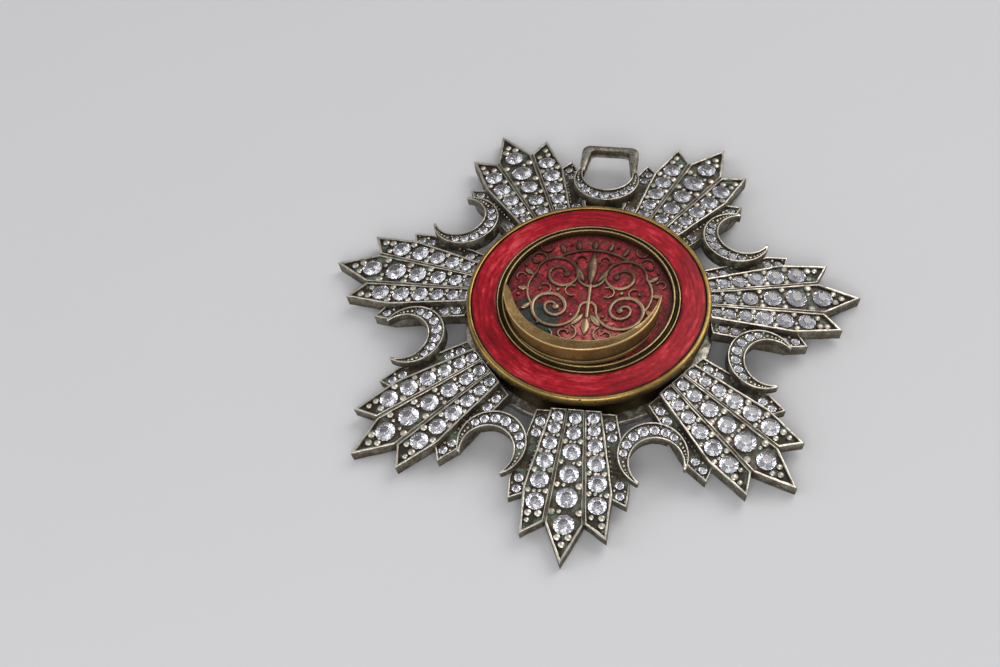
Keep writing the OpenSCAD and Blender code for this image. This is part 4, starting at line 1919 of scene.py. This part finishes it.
@dataclass
class Medallion:
    """The gold case with its rim, enamel, bezel, disc, scrolls and tall crescent."""

    star: Star
    finishes: Finishes
    hub: float = 4.0
    sides: int = 200
    case_in: float = 1.1
    case_wall: float = 0.65
    case_floor: float = 0.9
    rim_height: float = 1.4
    rim_wall: float = 0.7
    enamel_lap: float = 0.7
    enamel_sunk: float = 0.1
    bezel_in: float = 0.8
    bezel_width: float = 1.05
    ledge_width: float = 2.1
    bezel_sunk: float = 0.1
    lip_rise: float = 0.45
    disc_sides: int = 96
    disc_rings: int = 24
    disc_edge: float = 0.05
    disc_sunk: float = 0.03
    disc_waves: Flat = (-0.03, 0.02)
    lune_outer: Ring = ((-0.7, -0.57), 11.3)
    lune_inner: Ring = ((-0.35, 0.6), 10.71)
    lune_fall: float = 0.1
    lune_steps: int = 90
    lune_bulges: Flat = (0.16, 0.04)
    left_cut: Line = ((-12.3, 0.6), (-10.5, -2.8))
    right_cut: Line = ((9.9, -1.6), (10.75, 0.0))

    def case(self) -> None:
        """Builds the case with its upright rim."""
        r, low, top = round_sizes("medallion_case")
        bed = round_sizes("enamel_ring")[1]
        wall_r, flange, inner = r - self.case_in, top - self.rim_height, r - self.rim_wall
        floor, well = low + self.case_floor, wall_r - self.case_wall
        # Grime and painted shade: the wall under the rim, the flange's underside and the lower
        # outer wall of the rim are painted dark as the rim's shade.
        profile = softened([
            (self.hub, low, 0.5), (wall_r, low, 0.7), (wall_r, flange, 0.84), (r, flange, 0.7),
            (r, top - 0.95, 0.45), (r, top - 0.5, 0.1), (r - 0.06, top - 0.2, 0.0),
            (r - 0.2, top - 0.04, 0.05), (r - 0.42, top, 0.25), (r - 0.55, top, 0.0),
            (inner, top - 0.06, 0.1), (inner, bed, 0.9), (well, bed, 0.9), (well, floor, 0.9),
            (self.hub, floor, 0.9)], radius=0.14)
        draft = revolved(profile, self.sides, closed=False)
        hub = circle(self.hub, self.sides)
        draft.cap(draft.loop(raised(hub, low), 0.5)[::-1])
        draft.cap(draft.loop(raised(hub, floor), 0.9))
        draft.piece(self.star.axis(), "gold_case", self.finishes.rim, "rim_gold",
                    "medallion_case")

    def ring(self) -> None:
        """Builds the enamel ring, a little domed, which swells toward the bezel."""
        r, low, top = round_sizes("enamel_ring")
        hole = round_sizes("inner_bezel")[0] - self.enamel_lap
        edge = round_sizes("medallion_case")[2] - self.enamel_sunk
        crown = [(r - (r - hole) * t, edge + (top - edge) * t + rise, 0.0)
                 for t, rise in RING_CROWN]
        draft = revolved([(hole, low, 0), (r, low, 0), *crown], self.sides)
        draft.piece(self.star.axis(), "red_ring", self.finishes.ring, "ring_enamel",
                    "enamel_ring")

    def disc(self) -> None:
        """Builds the worn disc, whose face is a little wavy."""
        r, low, top = round_sizes("enamel_disc")
        dice, draft = Random(DISC_SEED), Draft()
        rim = circle(r, self.disc_sides)
        loops = [raised(rim, low), raised(rim, top - self.disc_edge)]
        for k in range(1, self.disc_rings):
            loops.append([Vector((x, y, top - self.disc_sunk + dice.uniform(*self.disc_waves)))
                          for x, y in circle(r * (1 - k / self.disc_rings), self.disc_sides)])
        rows = draft.stack(loops, [0] * len(loops))
        draft.cap(rows[0][::-1])
        draft.cap(rows[-1])
        draft.piece(self.star.axis(), "red_disc", self.finishes.disc, "disc_enamel",
                    "enamel_disc")

    def bezel(self) -> None:
        """Builds the ring round the disc, a low and a high lip with a groove between."""
        foot_r, low, top = round_sizes("inner_bezel")
        rim_top = round_sizes("medallion_case")[2]
        seat = round_sizes("enamel_disc")[1] - self.bezel_sunk
        shelf = round_sizes("enamel_ring")[1] - self.bezel_sunk
        r, lip = foot_r - self.bezel_in, rim_top + self.lip_rise
        inner, ledge, groove = r - self.bezel_width, r - self.ledge_width, lip - 0.3
        # Painted shade: the groove and the inner wall down to the disc are painted near black.
        profile = softened([
            (foot_r, low, 0.9), (foot_r, shelf, 0.9), (r, shelf, 0.9), (r, lip - 0.15, 0.4),
            (r - 0.03, lip, 0.0), (r - 0.2, lip, 0.1), (r - 0.27, groove, 0.9),
            (r - 0.68, groove, 0.9), (r - 0.74, top - 0.2, 0.4), (r - 0.8, top, 0.0),
            (inner + 0.03, top, 0.0), (inner, rim_top + 0.3, 0.5), (inner, seat, 1.0),
            (ledge, seat, 1.0), (ledge, low, 0.9)], radius=0.07)
        revolved(profile, self.sides).piece(self.star.axis(), "gold_bezel", self.finishes.bezel,
                                            "rim_gold", "inner_bezel")

    def crescent(self) -> None:
        """Builds the tall crescent: foot, hollowed wall, lip and rounded top."""
        base = round_sizes("gold_crescent")[1]
        draft, loops = Draft(), []
        for step in LUNE:
            least = base + 0.001 * step.rise
            loops.append([Vector((x, y, max(least, base + step.rise - self.fall(y))))
                          for x, y in self.lune_at(step)])
        rows = draft.stack(loops, [step.grime_and_shade for step in LUNE])
        draft.plate(rows[-1])
        draft.plate(rows[0], up=False)
        draft.piece(self.star.axis(), "tall_crescent", self.finishes.lune, "crescent_gold",
                    "gold_crescent")

    def fall(self, y: float) -> float:
        """How much lower the crescent's top is at a place than at its back."""
        return self.lune_fall * (y - self.lune_outer[0][1] + self.lune_outer[1])

    def lune_at(self, step: LuneStep) -> list[Flat]:
        """Draws one loop of the crescent, whose horns end in a rounded slant.

        Args:
            step: how far its outer and inner edges are set in.
        Returns:
            The loop, anticlockwise from the left horn.
        """
        left, right = self.lune_bulges
        whole = lune(self.lune_outer, self.lune_inner, (self.left_cut, self.right_cut),
                     self.lune_bulges, self.lune_steps)
        pairs = list(zip(whole[:self.lune_steps + 1], whole[self.lune_steps + 4:-3][::-1]))
        outer = [toward(p, q, step.set_out) for p, q in pairs]
        inner = [toward(q, p, step.set_in) for p, q in pairs]
        return [*outer, *bulged(outer[-1], inner[-1], right), *inner[::-1],
                *bulged(inner[0], outer[0], left)]

    def build(self) -> None:
        """Builds the whole medallion."""
        for part in (self.case, self.ring, self.disc, self.bezel, self.crescent):
            part()
        Scrolls(self.star, self.finishes, round_sizes("enamel_disc")[2]).build()


@dataclass
class Back:
    """What shows from behind: the gallery ring and the brooch pin."""

    star: Star
    finishes: Finishes
    width: float = 4.0
    sides: int = 160

    def build(self) -> None:
        """Builds the flat ring that the rays rest on, and finishes the pin."""
        r, bottom, top = round_sizes("gallery_ring")
        inner, middle = r - self.width, r - self.width / 2
        # Painted light: the ring's top has the least grime, most of all at its outer edge, so that
        # it reads lit where the medallion shades it.
        profile = softened([(middle, bottom, 0.3), (r, bottom, 0.32), (r, top, 0.0),
                            (inner, top, 0.2), (inner, bottom, 0.3), (middle, bottom, 0.3)],
                           radius=0.12)
        ring = revolved(profile[:-1], self.sides)
        ring.piece(self.star.axis(), "silver_gallery_ring", self.finishes.back, "back_silver",
                   "gallery_ring")
        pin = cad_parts["brooch_pin"]
        pin.data.materials.clear()
        pin.data.materials.append(self.finishes.back)


# The studio


@dataclass(frozen=True)
class Lamp:
    """A soft box that faces the badge: name, place and width in millimetres, power, colour."""

    name: str
    at: Triple
    size: float
    watts: float
    colour: Triple = (1, 1, 1)

    def hang(self) -> None:
        """Puts the lamp in the scene."""
        light = bpy.data.lights.new(self.name, "AREA")
        light.shape = "SQUARE"
        light.size, light.energy, light.color = self.size * MM, self.watts, self.colour
        lamp = bpy.data.objects.new(self.name, light)
        spot = Vector(self.at)
        lamp.matrix_world = (Matrix.Translation(spot * MM)
                             @ (-spot).to_track_quat("-Z", "Y").to_matrix().to_4x4())
        bpy.context.scene.collection.objects.link(lamp)


# Section of the surface that the badge lies on, in shares of its half width: y, z
SURFACE = ((-1, 0), (0.6, 0), (0.75, 0.02), (0.9, 0.09), (1.0, 0.22), (1.06, 0.45), (1.08, 0.9))


@dataclass
class Studio:
    """Floor, lights and camera."""

    floor_half: float = 900.0
    floor_gap: float = 0.01
    sky: Triple = (0.96, 0.95, 1.0)
    sky_strength: float = 0.48
    lamps: tuple[Lamp, ...] = (
        Lamp("key", (240, 280, 420), 420, 1.7, (1.0, 0.98, 0.95)),
        Lamp("fill", (-380, -80, 280), 380, 0.62, (0.95, 0.97, 1.0)),
        Lamp("front", (40, -380, 330), 320, 1.5))
    camera_at: Triple = (23.83, -182.03, 251.12)
    aim: Triple = (-12.472, -2.409, 5.0)
    roll: float = -5.139
    lens: float = 76.495
    sensor: float = 36.0
    clip: float = 0.01

    def floor(self) -> None:
        """Lays the pale surface, which curves up far behind the badge."""
        draft, half = Draft(), self.floor_half
        rows = [draft.loop([Vector((x * half, y * half, z * half - self.floor_gap))
                            for x in (-1, 1)], 0) for y, z in SURFACE]
        for near, far in zip(rows, rows[1:]):
            draft.band(near, far, closed=False)
        draft.thing("surface", Paper("pale_paper").make(), 180)

    def camera(self) -> None:
        """Sets the camera at the photograph's angle."""
        lens = bpy.data.cameras.new("camera")
        lens.lens, lens.sensor_width, lens.clip_start = self.lens, self.sensor, self.clip
        camera = bpy.data.objects.new("camera", lens)
        at, aim = Vector(self.camera_at), Vector(self.aim)
        turn = (aim - at).to_track_quat("-Z", "Y").to_matrix().to_4x4()
        camera.matrix_world = (Matrix.Translation(at * MM) @ turn
                               @ Matrix.Rotation(math.radians(self.roll), 4, "Z"))
        bpy.context.scene.collection.objects.link(camera)
        bpy.context.scene.camera = camera

    def build(self) -> None:
        """Builds the studio."""
        self.floor()
        world = bpy.data.worlds.new("room")
        world.use_nodes = True
        sky = world.node_tree.nodes["Background"].inputs
        sky["Color"].default_value = (*self.sky, 1)
        sky["Strength"].default_value = self.sky_strength
        bpy.context.scene.world = world
        for lamp in self.lamps:
            lamp.hang()
        bpy.context.scene.view_settings.view_transform = "Standard"
        self.camera()


def main() -> None:
    """Builds the badge and the studio."""
    logging.basicConfig(level=logging.INFO, format="%(name)s: %(message)s")
    star = Star.read()
    finishes = Finishes(star.middle_y)
    for number in range(1, RAYS + 1):
        Ray(star, finishes, number).build()
    for gap in range(1, RAYS + 1):
        kind = HangerCrescent if gap == TOP_GAP else Crescent
        kind(star, finishes, gap).build()
    Medallion(star, finishes).build()
    Back(star, finishes).build()
    Studio().build()


if __name__ == "__main__":
    main()
